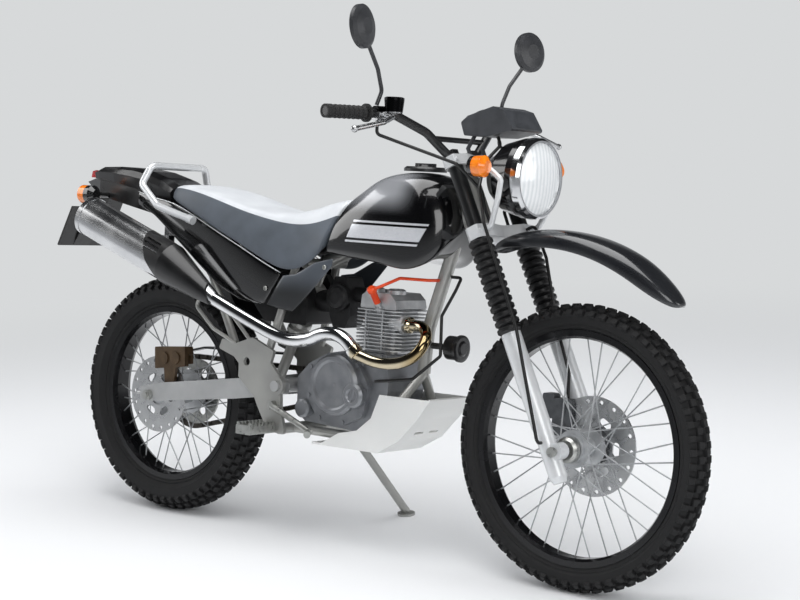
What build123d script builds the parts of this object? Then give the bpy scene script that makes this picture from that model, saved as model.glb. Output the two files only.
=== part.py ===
from build123d import *
from math import asin, atan2, cos, degrees, radians, sin, tan
import os

# Dual sport motorcycle, in millimetres: +X forwards, +Y to the rider's left, +Z up.
# It is modelled upright on level ground at Z = 0, round its frame; the wheels hang on the
# fork and the swingarm, and the last section stands it on the ground, leaning on its stand.

os.makedirs("parts", exist_ok=True)

# ---------------------------------------------------------------- driving dimensions
lean = 8.0                  # parked angle, towards the side stand on the left
gap = 0.3                   # air between pieces that seat on each other
running_gap = 0.3           # air round a shaft that turns

caster = 26.0               # steering axis from the vertical
crown_x, crown_z = 373.04, 813.55     # lower crown on the steering axis
crown_to_axle = 556.0       # along the fork
axle_offset = 62.0          # front axle ahead of the steering axis
leg_offset = 40.0           # fork legs ahead of the steering axis
leg_half_spacing = 95.0
steering_lock = 40.0        # each way
lock_clearance = 6.0        # air between the fork and the tank at full lock

pivot_x, pivot_z = -189.0, 402.0      # swingarm pivot
swingarm_reach = 483.5      # rear axle behind the pivot
swingarm_drop = 76.0        # rear axle below the pivot
sprocket_x, sprocket_z = -115.0, 402.0
chain_y = 75.0
chain_half_width = 8.5
chain_half_height = 6.5
rear_sprocket_radius = 99.0
front_sprocket_radius = 30.0

front_seat_radius = 267.0   # bead seat of a 21 inch rim
front_tyre_height = 74.0    # tread above the bead seat
front_tyre_half_width = 41.0
front_rim_half_width = 26.0
rear_seat_radius = 229.0    # bead seat of an 18 inch rim
rear_tyre_height = 97.0
rear_tyre_half_width = 60.0
rear_rim_half_width = 34.0
front_tyre_radius = front_seat_radius + front_tyre_height
rear_tyre_radius = rear_seat_radius + rear_tyre_height
rim_wall = 3.0
rim_flange = 13.0           # flange height above the bead seat
rim_well = 8.0              # rim thickness below the bead seat
tread_depth = 8.5
tread_pitches = 24
tread_gap = 0.42            # share of the pitch between one block and the next
axle_radius = 7.5
spoke_radius = 1.8
spoke_pairs = 18
spoke_sweep = 60.0          # hub end turned from the rim end
front_disc_y, rear_disc_y = 52.0, -72.0
disc_thickness = 4.0
front_disc_radius, rear_disc_radius = 120.0, 105.0
hub_end_radius = 34.0

head_length = 150.0
head_radius = 27.0
head_play = 3.0             # between the steering head and each crown
stem_radius = 13.0
lower_crown_height = 32.0
upper_crown_height = 26.0
stanchion_radius = 18.5
slider_radius = 24.0
boot_radius = 30.0
boot_ribs = 13

# ---------------------------------------------------------------- axles and steering
# The steering frame: local x forwards, y left, z up along the steering axis, with
# its origin level with the front axle.
ahead = Vector(cos(radians(caster)), 0, sin(radians(caster)))
upward = Vector(-sin(radians(caster)), 0, cos(radians(caster)))
steering = Plane(Vector(crown_x, 0, crown_z) - upward * crown_to_axle,
                 x_dir=ahead, z_dir=upward)
lower_crown_z = crown_to_axle
head_bottom_z = lower_crown_z + lower_crown_height / 2 + head_play
head_top_z = head_bottom_z + head_length
upper_crown_z = head_top_z + head_play + upper_crown_height / 2
lower_crown_base = lower_crown_z - lower_crown_height / 2
upper_crown_top = upper_crown_z + upper_crown_height / 2
stanchion_top = upper_crown_top + 6


def on_steering(x, y, z):
    """A point of the steering frame, in the bike's own axes."""
    return steering.from_local_coords(Vector(x, y, z))


front_axle_at = on_steering(axle_offset, 0, 0)
rear_axle_at = Vector(pivot_x - swingarm_reach, 0, pivot_z - swingarm_drop)

# The ground touches both tyres from below; seen from the frame it may slope.
axle_line = front_axle_at - rear_axle_at
ground_slope = (atan2(axle_line.Z, axle_line.X)
                - asin((front_tyre_radius - rear_tyre_radius) / axle_line.length))
ground_way = Vector(cos(ground_slope), 0, sin(ground_slope))
ground_up = Vector(-sin(ground_slope), 0, cos(ground_slope))
ground_height = front_axle_at.dot(ground_up) - front_tyre_radius
leaning_normal = (ground_up * cos(radians(lean)) + Vector(0, -sin(radians(lean)), 0))


def rod(start, end, radius, mode=Mode.ADD):
    """A straight round bar."""
    start, end = Vector(*start), Vector(*end)
    with BuildSketch(Plane(start, z_dir=end - start)) as section:
        Circle(radius)
    extrude(section.sketch, amount=(end - start).length, mode=mode)


def pipe(points, radius, bend, mode=Mode.ADD):
    """A round bar along straight runs joined by tangent arcs."""
    with BuildLine() as path:
        FilletPolyline(*points, radius=bend)
    with BuildSketch(path.line ^ 0) as section:
        Circle(radius)
    sweep(section.sketch, path=path.line, mode=mode)


def plate(outline, near, far, mode=Mode.ADD, corner=0):
    """A flat plate with an outline of (X, Z) points, from Y = near to Y = far."""
    near, far = sorted((near, far))
    with BuildSketch(Plane.XZ.offset(-far)) as section:
        Polygon(*outline, align=None)
        if corner:
            fillet(section.vertices(), corner)
    extrude(section.sketch, amount=far - near, mode=mode)


def disc(center, radius, near, far, mode=Mode.ADD):
    """A disc about a crossways axis at (X, Z), from Y = near to Y = far."""
    near, far = sorted((near, far))
    with BuildSketch(Plane.XZ.offset(-far)) as section:
        with Locations(center):
            Circle(radius)
    extrude(section.sketch, amount=far - near, mode=mode)


def turned(start, way, profile, mode=Mode.ADD, corner=0):
    """A turned piece: (along, radius) points from a start along a direction."""
    way = Vector(*way).normalized()
    side = Vector(0, 0, 1) if abs(way.Z) < 0.7 else Vector(0, 1, 0)
    out = side - way * side.dot(way)
    with BuildSketch(Plane(Vector(*start), x_dir=way, z_dir=way.cross(out))) as half:
        Polygon(*profile, align=None)
        if corner:
            fillet(half.vertices().filter_by(lambda v: abs(
                (Vector(*v) - Vector(*start)).dot(out)) > 1), corner)
    revolve(half.sketch, axis=Axis(Vector(*start), way), mode=mode)


def skin(rings, mode=Mode.ADD):
    """A body through flat rings, each a plane and its outline of (x, y) points."""
    sections = []
    for plane, outline in rings:
        with BuildSketch(plane) as ring:
            Polygon(*outline, align=None)
        sections.append(ring.sketch)
    loft(sections=sections, ruled=True, mode=mode)


def both(half):
    """An outline of (Y, Z) points from its left half."""
    return half + [(-y, z) for y, z in reversed(half)]


pieces = {}


def toothed(top, turn):
    """The outline of a band of flat-topped tread blocks. One stands on the ground, or is
    turned from it by a share of the pitch."""
    pitch = radians(360 / tread_pitches)
    half_block = (0.94 - tread_gap) / 2
    corner, root = top / cos(pitch * half_block), top - tread_depth
    return [(-radius * sin(pitch * (k + share + turn)), radius * cos(pitch * (k + share + turn)))
            for k in range(tread_pitches)
            for share, radius in ((-half_block - 0.03, root), (-half_block, corner),
                                  (half_block, corner), (half_block + 0.03, root))]


# ---------------------------------------------------------------- wheels
# One row for each wheel: name, axle, outer radius, half width, bead seat radius,
# rim half width, flange circle of the spokes, Y of the spoke flanges, hub barrel
# radius, Y of the hub's two ends.
wheels = [
    ("front", front_axle_at, front_tyre_radius, front_tyre_half_width,
     front_seat_radius, front_rim_half_width, 40.0, (-32.0, 36.0), 24.0,
     (-46.0, front_disc_y - disc_thickness / 2 - gap)),
    ("rear", rear_axle_at, rear_tyre_radius, rear_tyre_half_width,
     rear_seat_radius, rear_rim_half_width, 58.0, (-42.0, 46.0), 32.0,
     (rear_disc_y + disc_thickness / 2 + gap, chain_y - 3 - gap)),
]

for (name, axle, outer, half_width, seat, rim_half, flange_circle, flanges,
     barrel, ends) in wheels:
    across = Plane(axle, x_dir=(0, 1, 0), z_dir=(1, 0, 0))
    spin = Axis(axle, (0, 1, 0))
    flange_top = seat + rim_flange
    inside = rim_half - rim_wall

    with BuildPart() as rim:
        with BuildSketch(across):
            Polygon((-rim_half, flange_top), (-rim_half, seat - 2),
                    (-rim_half * 0.6, seat - rim_well),
                    (rim_half * 0.6, seat - rim_well), (rim_half, seat - 2),
                    (rim_half, flange_top), (inside, flange_top), (inside, seat),
                    (-inside, seat), (-inside, flange_top), align=None)
        revolve(axis=spin)

    # The tread is three toothed bands round a turned carcass: Y of a band's two edges
    # and its outer radius at each, the shoulders falling away.
    bead = inside - gap
    w = half_width
    shoulder_top, rib_top = outer - 0.29 * w, outer - 0.11 * w
    carcass = outer - tread_depth - 1
    shoulder = shoulder_top - tread_depth - 1
    with BuildPart() as tyre:
        for turn, edges_of_band in (
                (0.5, ((-0.96 * w, shoulder_top), (-0.62 * w, rib_top))),
                (0, ((-0.24 * w, outer - 0.034 * w), (0, outer), (0.24 * w, outer - 0.034 * w))),
                (0.5, ((0.62 * w, rib_top), (0.96 * w, shoulder_top)))):
            skin([(Plane(axle + Vector(0, y, 0), x_dir=(1, 0, 0), z_dir=(0, 1, 0)),
                   toothed(top, turn)) for y, top in edges_of_band])
        disc((axle.X, axle.Z), shoulder - 6, -2 * w, 2 * w, mode=Mode.SUBTRACT)
        with BuildSketch(across):
            Polygon(*both([(bead, seat + gap), (bead, flange_top + gap),
                           (rim_half, flange_top + gap), (w, (flange_top + shoulder) / 2),
                           (0.96 * w, shoulder), (0.62 * w, rib_top - tread_depth - 1),
                           (0.24 * w, carcass)]), align=None)
        revolve(axis=spin)

    low, high = flanges
    with BuildPart() as hub:
        with BuildSketch(across):
            bore = axle_radius + running_gap
            Polygon((ends[0], bore), (ends[0], hub_end_radius), (low - 3, hub_end_radius),
                    (low - 3, flange_circle + 5), (low + 3, flange_circle + 5),
                    (low + 6, barrel), (high - 6, barrel),
                    (high - 3, flange_circle + 5), (high + 3, flange_circle + 5),
                    (high + 3, hub_end_radius), (ends[1], hub_end_radius),
                    (ends[1], bore), align=None)
        revolve(axis=spin)
        for side_y in flanges:
            spokes = []
            for k in range(spoke_pairs):
                at_rim = radians(360 / spoke_pairs * (k + (0.5 if side_y == high else 0)))
                at_hub = at_rim + radians(spoke_sweep if k % 2 else -spoke_sweep)
                reach = seat - rim_well - 0.8
                start = Vector(cos(at_hub) * flange_circle, side_y,
                               sin(at_hub) * flange_circle)
                end = Vector(cos(at_rim) * reach, side_y * 0.1, sin(at_rim) * reach)
                spokes.append(Plane(axle + start, z_dir=end - start))
            with BuildSketch(*spokes):
                RegularPolygon(spoke_radius, 6)
            extrude(amount=(end - start).length)
    pieces[name + "_rim"] = rim
    pieces[name + "_tyre"] = tyre
    pieces[name + "_hub"] = hub


# Brake discs: name, axle, Y of the mid plane, outer radius, inner radius, windows in
# the carrier, circle and radius of the outer row of holes.
brake_discs = [
    ("front_disc", front_axle_at, front_disc_y, front_disc_radius, 30.0, 6, 108.0),
    ("rear_disc", rear_axle_at, rear_disc_y, rear_disc_radius, 30.0, 6, 93.0),
]
for name, axle, mid_y, outer, inner, windows, row in brake_discs:
    face = Plane(axle + Vector(0, mid_y - disc_thickness / 2, 0), x_dir=(1, 0, 0),
                 z_dir=(0, 1, 0))
    with BuildPart() as brake:
        with BuildSketch(face):
            Circle(outer)
            Circle(inner, mode=Mode.SUBTRACT)
            with PolarLocations(row - 42, windows):
                SlotOverall(34, 18, rotation=90, mode=Mode.SUBTRACT)
            with PolarLocations(row, 3 * windows):
                Circle(5, mode=Mode.SUBTRACT)
        extrude(amount=disc_thickness)
    pieces[name] = brake

chain_pitch = 15.875
with BuildPart() as rear_sprocket:
    with BuildSketch(Plane(rear_axle_at + Vector(0, chain_y - 3, 0), x_dir=(1, 0, 0),
                           z_dir=(0, 1, 0))):
        Circle(rear_sprocket_radius - chain_half_height - 0.6)
        Circle(30, mode=Mode.SUBTRACT)
        with PolarLocations(60, 6):
            Circle(13, mode=Mode.SUBTRACT)
    extrude(amount=6)
pieces["rear_sprocket"] = rear_sprocket

# ---------------------------------------------------------------- frame
head_top = on_steering(0, 0, head_top_z)
head_bottom = on_steering(0, 0, head_bottom_z)
cradle_z = 292.0            # cradle tubes under the engine
cradle_half_spacing = 62.0
cradle_radius = 12.0
cradle_rear_x = -176.0
rail_radius = 11.0
rail_half_spacing = 78.0
rail_front_x, rail_front_z = -140.0, 735.0
rail_rear_x, rail_rear_z = -640.0, 834.0
backbone_radius = 19.0
downtube_radius = 17.0
pivot_plate_near, pivot_plate_far = 110.0, 120.0
fork_joint = Vector(196.0, 0, 470.0)  # where the downtube splits into the cradle
backbone_high = on_steering(0, 0, head_top_z - 38)
backbone_low = Vector(-150.0, 0, 722.0)
pivot_plate = [(-392, 508), (-343, 499), (-284, 520), (-206, 491), (-216, 459),
               (-179, 424), (-174, 351), (-157, 278), (-216, 282), (-255, 342),
               (-269, 367), (-328, 413), (-328, 448), (-347, 464), (-403, 481)]


def rail_at(x, side):
    """The seat rail's centre line at X, on the left (1) or the right (-1)."""
    share = (x - rail_front_x) / (rail_rear_x - rail_front_x)
    return Vector(x, side * rail_half_spacing,
                  rail_front_z + (rail_rear_z - rail_front_z) * share)



def strut_foot(rear, side):
    """Top and bottom of the strut from a seat rail to the pivot plate, front or rear."""
    if rear < 0:
        return rail_at(rail_front_x - 30, side), Vector(-236, side * 102, 496)
    return rail_at(-560, side), Vector(-360, side * 102, 496)


stand_pivot = Vector(-105, 112, 256)
stand_stowed = Vector(-1, 0.05, 0.0)  # direction of the leg when folded
stand_out = 290.0           # foot's distance from the bike's middle plane
stand_foot_x = -62.0
stand_sole = (ground_way * stand_foot_x + Vector(0, stand_out, 0)
              + ground_up * (ground_height + stand_out * tan(radians(lean))))
stand_end = stand_sole + leaning_normal * 10
stand_axis = (stand_sole - stand_pivot).cross(stand_stowed).normalized()
stand_pin_radius = 6.0
stand_head_half = 11.5
skid_boss_x = (-40.0, 100.0)
horn_z = 541.0

with BuildPart() as main_frame:
    rod(head_bottom, head_top, head_radius)
    rod(backbone_high, backbone_low, backbone_radius)
    pipe([on_steering(0, 0, head_top_z - 40), (204, 0, 580), fork_joint],
         downtube_radius, 90)
    for bar_x, bar_z, half, radius in (
            (backbone_low.X, backbone_low.Z, rail_half_spacing, 13.0),
            (cradle_rear_x, cradle_z, pivot_plate_far, 14.0),
            (-580, 822, rail_half_spacing, 9.0)):
        rod((bar_x, -half, bar_z), (bar_x, half, bar_z), radius)
    for side in (-1, 1):
        y = side * cradle_half_spacing
        rod(fork_joint, (176.0, y, 400.0), cradle_radius)
        pipe([(176.0, y, 400.0), (152.0, y, cradle_z), (cradle_rear_x, y, cradle_z)],
             cradle_radius, 40)
        rod(rail_at(rail_front_x, side), rail_at(rail_rear_x, side), rail_radius)
        rod(*strut_foot(-1, side), rail_radius)
        rod(*strut_foot(1, side), rail_radius)
        # The hanger loop below the silencer.
        pipe([(-346, side * 115, 498), (-420, side * 127, 532), (-520, side * 128, 616),
              (-372, side * 122, 586), (-296, side * 115, 512)], 5, 14)
        plate(pivot_plate, side * pivot_plate_near, side * pivot_plate_far, corner=6)
        disc((pivot_x, pivot_z), 24, side * pivot_plate_near, side * (pivot_plate_far + 4))
    stand_collar = stand_pivot - stand_axis * (stand_head_half + gap)
    rod(Vector(stand_pivot.X, cradle_half_spacing, cradle_z) - stand_axis * 6,
        stand_collar - stand_axis * 11.5, 10)
    rod(stand_collar - stand_axis * 14, stand_collar, 12)
    rod(stand_collar, stand_pivot + stand_axis * (stand_head_half + 6), stand_pin_radius)
    rod(head_bottom - upward, head_top + upward, stem_radius + 1, mode=Mode.SUBTRACT)
    disc((pivot_x, pivot_z), 8.0 + running_gap, -130, 130, mode=Mode.SUBTRACT)
    disc((-300, 455), 11, -130, -100, mode=Mode.SUBTRACT)
pieces["main_frame"] = main_frame

# ---------------------------------------------------------------- engine
cylinder_x = 86.0
case_top_z = 512.0
barrel_top_z = 628.0
head_roof_z = 664.0
clutch_at, clutch_radius = (-4, 424), 78
dynamo_at, dynamo_radius = (60, 416), 62
filter_at = (62, 404)
plug_at = Vector(cylinder_x + 6, -60, 626)
plug_way = Vector(0, -0.6, 0.8)
with BuildPart() as crankcase:
    plate([(-148, 340), (-120, 318), (60, 310), (108, 330), (142, 372), (150, 420),
           (150, 460), (142, case_top_z), (10, case_top_z), (-50, 500),
           (-110, 470), (-150, 430)], -84, 62, corner=6)
    plate([(-92, 470), (-40, 500), (60, 484), (100, 430), (84, 350), (20, 322), (-60, 326),
           (-104, 380)], -98, -84, corner=14)
    turned((clutch_at[0], -98, clutch_at[1]), (0, -1, 0),
           [(-2, 0), (-2, clutch_radius), (12, clutch_radius), (20, clutch_radius - 6),
            (20, clutch_radius - 14), (16, clutch_radius - 20), (14, 0)])
    turned((filter_at[0], -98, filter_at[1]), (0, -1, 0),
           [(-2, 0), (-2, 32), (16, 32), (22, 26), (22, 18), (18, 14), (18, 0)])
    turned((dynamo_at[0], 60, dynamo_at[1]), (0, 1, 0),
           [(0, 0), (0, dynamo_radius), (38, dynamo_radius), (44, dynamo_radius - 8),
            (44, 20), (40, 16), (40, 0)])
    turned((-112, -84, 352), (0, -1, 0), [(-2, 0), (-2, 24), (22, 24), (26, 18), (26, 0)])
    plate([(-148, 360), (-60, 350), (10, 360), (10, 470), (-140, 450)], 62, 66)
    for bolt_x, bolt_z in ((-94, 462), (-44, 492), (58, 478), (92, 430), (80, 356),
                           (20, 330), (-58, 334), (-98, 388)):
        disc((bolt_x, bolt_z), 6, -101, -98)
    for rib_x in (16, 44, 72, 100, 128):
        plate([(rib_x - 2.5, 480), (rib_x + 2.5, 480), (rib_x + 2.5, case_top_z),
               (rib_x - 2.5, case_top_z)], -92, 70)
    disc((sprocket_x, sprocket_z), front_sprocket_radius - chain_half_height - 0.6,
         60, chain_y + 4)
pieces["crankcase"] = crankcase

arm_brace = Vector(rear_axle_at.X + rear_tyre_radius + 46.5, 0, pivot_z - 18)
arm_brace_radius = 20.0
shock_way = (backbone_low - arm_brace).normalized()
shock_low = arm_brace + shock_way * (arm_brace_radius + gap)
shock_high = backbone_low - shock_way * (backbone_radius + 1)
spring_radius = 30.0
fin_pitch = 9.0
fin_thickness = 2.6
fin_levels = [case_top_z + 8 + fin_pitch * k for k in range(12)]
barrel = Plane((cylinder_x, 0, 0))
port_at, port_radius = Vector(cylinder_x + 86, -48, 590), 24.0
with BuildPart() as cylinder:
    with BuildSketch(barrel.offset(case_top_z)):
        RectangleRounded(100, 104, 18)
    extrude(amount=barrel_top_z - case_top_z)
    with BuildSketch(*[barrel.offset(level) for level in fin_levels]):
        fin = Rectangle(150, 142)
        chamfer(fin.vertices(), 20)
    extrude(amount=fin_thickness)
    with BuildSketch(barrel.offset(fin_levels[0])):
        with Locations((-30, -66), (24, -66), (-30, 66), (24, 66)):
            Rectangle(4, 8)
    extrude(amount=fin_levels[-1] - fin_levels[0])
    plate([(30, 624), (34, 656), (46, head_roof_z), (124, head_roof_z), (142, 648),
           (148, 624)], -62, 62, corner=4)
    for rib_y in (-52, -34, -16, 16, 34, 52):
        plate([(34, 630), (37, 662), (44, head_roof_z + 6), (60, head_roof_z + 6),
               (60, 630)], rib_y - 2, rib_y + 2)
    for cap_x in (52, 120):
        turned((cap_x, -30, head_roof_z - 2), (0, 0, 1),
               [(0, 0), (0, 24), (10, 24), (14, 18), (14, 0)])
    turned(port_at, (-1, 0, 0), [(0, 0), (0, port_radius), (9, port_radius), (9, 19),
                                 (44, 19), (44, 0)])
    for way_y, way_z in ((-30, 0), (30, 0)):
        rod(port_at + Vector(-8, way_y * 0.62, way_z), port_at + Vector(5, way_y * 0.62, way_z),
            3.4)
    turned(plug_at, plug_way, [(-8, 0), (-8, 12), (6, 12), (6, 7), (17.7, 7), (17.7, 0)])
pieces["cylinder"] = cylinder

carburettor_z = 650.0
with BuildPart() as carburettor:
    turned((29.7, 0, carburettor_z), (-1, 0, 0),
           [(0, 0), (0, 26), (8, 26), (8, 20), (66, 20), (66, 0)])
    plate([(-98, 594), (-84, 562), (-44, 562), (-30, 594), (-28, 650), (-46, 694),
           (-84, 694), (-100, 650)], -32, 32, corner=5)
    turned((-64, -31, 640), (0, -1, 0),
           [(0, 0), (0, 36), (14, 36), (14, 30), (20, 26), (24, 16), (24, 0)])
    turned((-98, 0, 622), (-1, 0, 0.1), [(0, 0), (0, 27), (56, 30), (56, 0)])
    plate([(-150, 562), (-152, 660), (-176, 690), (-330, 700), (-345, 610),
           (-300, 562)], -60, 60, corner=8)
    rod(shock_low, shock_high, spring_radius + 8, mode=Mode.SUBTRACT)
pieces["carburettor"] = carburettor

# ---------------------------------------------------------------- exhaust
header_radius, pipe_radius = 14.3, 17.5
header_end = port_at + Vector(gap, 0, 0)
header_points = [header_end, port_at + Vector(60, 0, 0), (270, -92, 556), (240, -118, 506),
                 (160, -130, 492), (86, -136, 512)]
pipe_points = [(84, -136, 514), (40, -140, 556), (-24, -140, 556), (-78, -138, 530),
               (-160, -138, 526), (-290, -142, 570), (-400, -148, 612)]
joint_way = (Vector(40, -140, 556) - Vector(*pipe_points[0])).normalized()
with BuildPart() as exhaust_pipe:
    pipe(header_points, header_radius, 30)
    pipe(pipe_points, pipe_radius, 34)
    turned(header_end + Vector(6, 0, 0), (1, 0, 0),
           [(0, 0), (0, port_radius - 4), (8, port_radius - 4), (12, 0)])
    turned(Vector(*pipe_points[0]), joint_way,
           [(-8, 0), (-8, pipe_radius + 1), (4, pipe_radius + 3), (14, pipe_radius + 3),
            (14, 0)])
pieces["exhaust_pipe"] = exhaust_pipe

pipe_way = (Vector(*pipe_points[-1]) - Vector(*pipe_points[-2])).normalized()
silencer_front = Vector(*pipe_points[-1]) + pipe_way * gap
silencer_mid = Vector(-560, -154, 694)
silencer_rear = Vector(-888, -156, 808)
silencer_way = (silencer_rear - silencer_mid).normalized()
silencer_radius = 54.0
silencer_bracket_x = -655.0


def silencer_body(grow, mode=Mode.ADD):
    """The silencer's cone and can, grown all round."""
    with BuildSketch(Plane(silencer_front, z_dir=pipe_way)) as a:
        Circle(pipe_radius + 0.5 + grow)
    with BuildSketch(Plane(silencer_mid, z_dir=silencer_way)) as b:
        Circle(silencer_radius + grow)
    loft(sections=[a.sketch, b.sketch], mode=mode)
    rod(silencer_mid, silencer_rear, silencer_radius + grow, mode=mode)


with BuildPart() as silencer:
    silencer_body(0)
    turned(silencer_rear, silencer_way,
           [(-14, 0), (-14, silencer_radius + 1.5), (0, silencer_radius + 1.5),
            (16, silencer_radius - 14), (18, 26), (14, 22), (14, 0)])
    rod(silencer_rear, silencer_rear + silencer_way * 34, 15)
    rod(silencer_rear + silencer_way * 15, silencer_rear + silencer_way * 36, 12.5,
        mode=Mode.SUBTRACT)
    for near, far, low, high in ((-112, -89.3, 738, 768), (-93, -89.3, 766, 838)):
        plate([(silencer_bracket_x, low), (silencer_bracket_x, high),
               (silencer_bracket_x + 36, high), (silencer_bracket_x + 36, low)], near, far)
pieces["silencer"] = silencer

shield_thickness, shield_air = 4.4, 0.6
with BuildPart() as heat_shield:
    silencer_body(shield_air + shield_thickness)
    silencer_body(shield_air, mode=Mode.SUBTRACT)
    plate([(-404, 596), (-430, 700), (-600, 800), (-652, 830), (-604, 704),
           (-560, 640)], -300, -156, mode=Mode.INTERSECT)
    for above in (26, 36, 46):
        slot_front = silencer_mid + silencer_way * 6 + Vector(0, 0, above)
        slot_rear = slot_front + silencer_way * 56
        plate([(slot_front.X, slot_front.Z), (slot_front.X, slot_front.Z + 5),
               (slot_rear.X, slot_rear.Z + 5), (slot_rear.X, slot_rear.Z)], -300, -172,
              mode=Mode.SUBTRACT)
pieces["heat_shield"] = heat_shield

# ---------------------------------------------------------------- tank and seat
# The seat butts on the tank along one slanting line, as (X, Z).
butt_low, butt_high = Vector(-80.5, 0, 712.8), Vector(10.6, 0, 955)


# X, half width and Z of the flat top, the shoulder, the widest line and the low edge.
tank_stations = [
    (-90, (30, 860), (60, 850), (90, 800), (96, 756)),
    (-14, (38, 898), (78, 884), (112, 838), (112, 750)),
    (34, (42, 932), (82, 916), (118, 858), (119, 743)),
    (74, (46, 959), (88, 940), (122, 868), (123, 741)),
    (130, (50, 971), (92, 952), (124, 868), (125, 736)),
    (190, (50, 973), (90, 954), (122, 870), (122, 722)),
    (238, (46, 965), (84, 944), (114, 868), (114, 732)),
    (276, (38, 940), (70, 920), (96, 858), (96, 758)),
    (306, (26, 880), (50, 866), (64, 842), (64, 812)),
]
tank_cap_at = Vector(168, 0, 973)
with BuildPart() as fuel_tank:
    skin([(Plane((x, 0, 0), x_dir=(0, 1, 0), z_dir=(1, 0, 0)), both(list(row)))
          for x, *row in tank_stations])
    plate([(butt_low.X + 0.3, butt_low.Z), (butt_high.X + 0.3, butt_high.Z),
           (-200, butt_high.Z), (-200, 600), (butt_low.X + 0.3 - 40, 600)], -200, 200,
          mode=Mode.SUBTRACT)
    rod(backbone_high, backbone_low, backbone_radius + gap, mode=Mode.SUBTRACT)
    rod(head_bottom - upward * 60, head_top + upward * 90, head_radius + 8,
        mode=Mode.SUBTRACT)
    plate([(-130, 690), (-130, 762), (280, 880), (330, 880), (330, 690)], -26, 26,
          mode=Mode.SUBTRACT)
    plate([(-130, 690), (-130, 722), (-56, 757), (150, 757), (190, 736), (230, 690)],
          -98, 98, mode=Mode.SUBTRACT)
    rod(backbone_high, (210, 0, 600), downtube_radius + 5, mode=Mode.SUBTRACT)
    for side in (-1, 1):
        at_lock = (leg_offset * cos(radians(steering_lock))
                   - leg_half_spacing * sin(radians(steering_lock)),
                   side * (leg_offset * sin(radians(steering_lock))
                           + leg_half_spacing * cos(radians(steering_lock))))
        rod(on_steering(*at_lock, lower_crown_z), on_steering(*at_lock, stanchion_top),
            stanchion_radius + lock_clearance, mode=Mode.SUBTRACT)
pieces["fuel_tank"] = fuel_tank

with BuildPart() as tank_cap:
    turned(tank_cap_at + Vector(0, 0, gap), (0, 0, 1),
           [(0, 0), (0, 54), (7, 54), (12, 48), (12, 0)])
    with BuildSketch(Plane(tank_cap_at + Vector(0, 0, 11))):
        RectangleRounded(60, 18, 6)
    extrude(amount=10)
    turned(tank_cap_at + Vector(0, 0, 10), (0, 0, 1), [(0, 0), (0, 26), (8, 22), (8, 0)])
pieces["tank_cap"] = tank_cap


def pan_z(x):
    """The underside of the seat at X, just above the seat rails and the backbone."""
    share = (x - backbone_low.X) / (backbone_high.X - backbone_low.X)
    backbone_z = backbone_low.Z + (backbone_high.Z - backbone_low.Z) * share
    return max(rail_at(x, 1).Z + rail_radius, backbone_z + backbone_radius + 2) + 6


skirt = 12.0
# X, crown Z, half width and Z of the seam, half width and Z of the low edge.
seat_stations = [
    (-646, 898, (70, 894), (80, 876)),
    (-612, 914, (98, 905), (112, 866)),
    (-520, 906, (110, 897), (124, 832)),
    (-431, 886, (112, 877), (126, 794)),
    (-345, 862, (111, 855), (126, 761)),
    (-257, 850, (107, 840), (125, 722)),
    (-194, 855, (101, 831), (124, 699)),
    (-133, 873, (96, 829), (122, 704)),
    (-85, 889, (94, 838), (120, 738)),
    (-36, 897, (90, 856), (117, 797)),
    (14, 900, (84, 872), (110, 862)),
]
with BuildPart() as seat:
    skin([(Plane((x, 0, 0), x_dir=(0, 1, 0), z_dir=(1, 0, 0)),
           both([(seam[0] * 0.5, crown), seam, low, (low[0] - skirt, low[1]),
                 (low[0] - skirt, max(pan_z(x), low[1] + 1)),
                 (20, max(pan_z(x), low[1] + 1))]))
          for x, crown, seam, low in seat_stations])
    plate([(butt_low.X - 0.3, butt_low.Z), (butt_high.X - 0.3, butt_high.Z),
           (60, butt_high.Z), (60, 640), (butt_low.X - 28, 640)], -200, 200,
          mode=Mode.SUBTRACT)
    for x in (-260, -500):
        for side in (-1, 1):
            bumper = rail_at(x, side) + Vector(0, 0, rail_radius + 2.6)
            rod(bumper, bumper + Vector(0, 0, 24), 10)
pieces["seat"] = seat

# The covers hang below the seat's low edge. X, top Z, low Z, half widths at the top, the
# middle and the bottom.
cover_thickness = 4.0
cover_stations = [
    (-160, 694, 596, 118, 122, 118),
    (-194, 693, 606, 118, 122, 118),
    (-257, 717, 607, 119, 123, 118),
    (-345, 756, 612, 120, 122, 113),
    (-431, 789, 646, 119, 119, 109),
    (-520, 827, 704, 116, 114, 106),
    (-612, 860, 768, 107, 108, 104),
    (-700, 866, 822, 94, 96, 94),
    (-790, 884, 848, 74, 76, 74),
]
front_cover_stations = [
    (-24, 744, 727, 113, 114, 113),
    (-84, 731, 662, 117, 119, 116),
    (-147, 696, 592, 118, 122, 118),
    (-194, 693, 606, 118, 122, 118),
    (-257, 717, 607, 119, 123, 118),
]


def cover_skins(stations, side):
    """A thin cover on one side through the rows of a station table."""
    skin([(Plane((x, 0, 0), x_dir=(0, 1, 0), z_dir=(1, 0, 0)),
           [(side * top, high), (side * middle, (high + low) / 2), (side * bottom, low),
            (side * (bottom - cover_thickness), low),
            (side * (middle - cover_thickness), (high + low) / 2),
            (side * (top - cover_thickness), high)])
          for x, high, low, top, middle, bottom in stations])



def cover_peg(top, bottom, side, height, reach):
    """A peg from a frame strut out to a cover, at Z = height."""
    foot = bottom + (top - bottom) * ((height - bottom.Z) / (top.Z - bottom.Z))
    rod(foot + Vector(0, side * (rail_radius + 1), 0), (foot.X, side * reach, foot.Z), 6)


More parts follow.
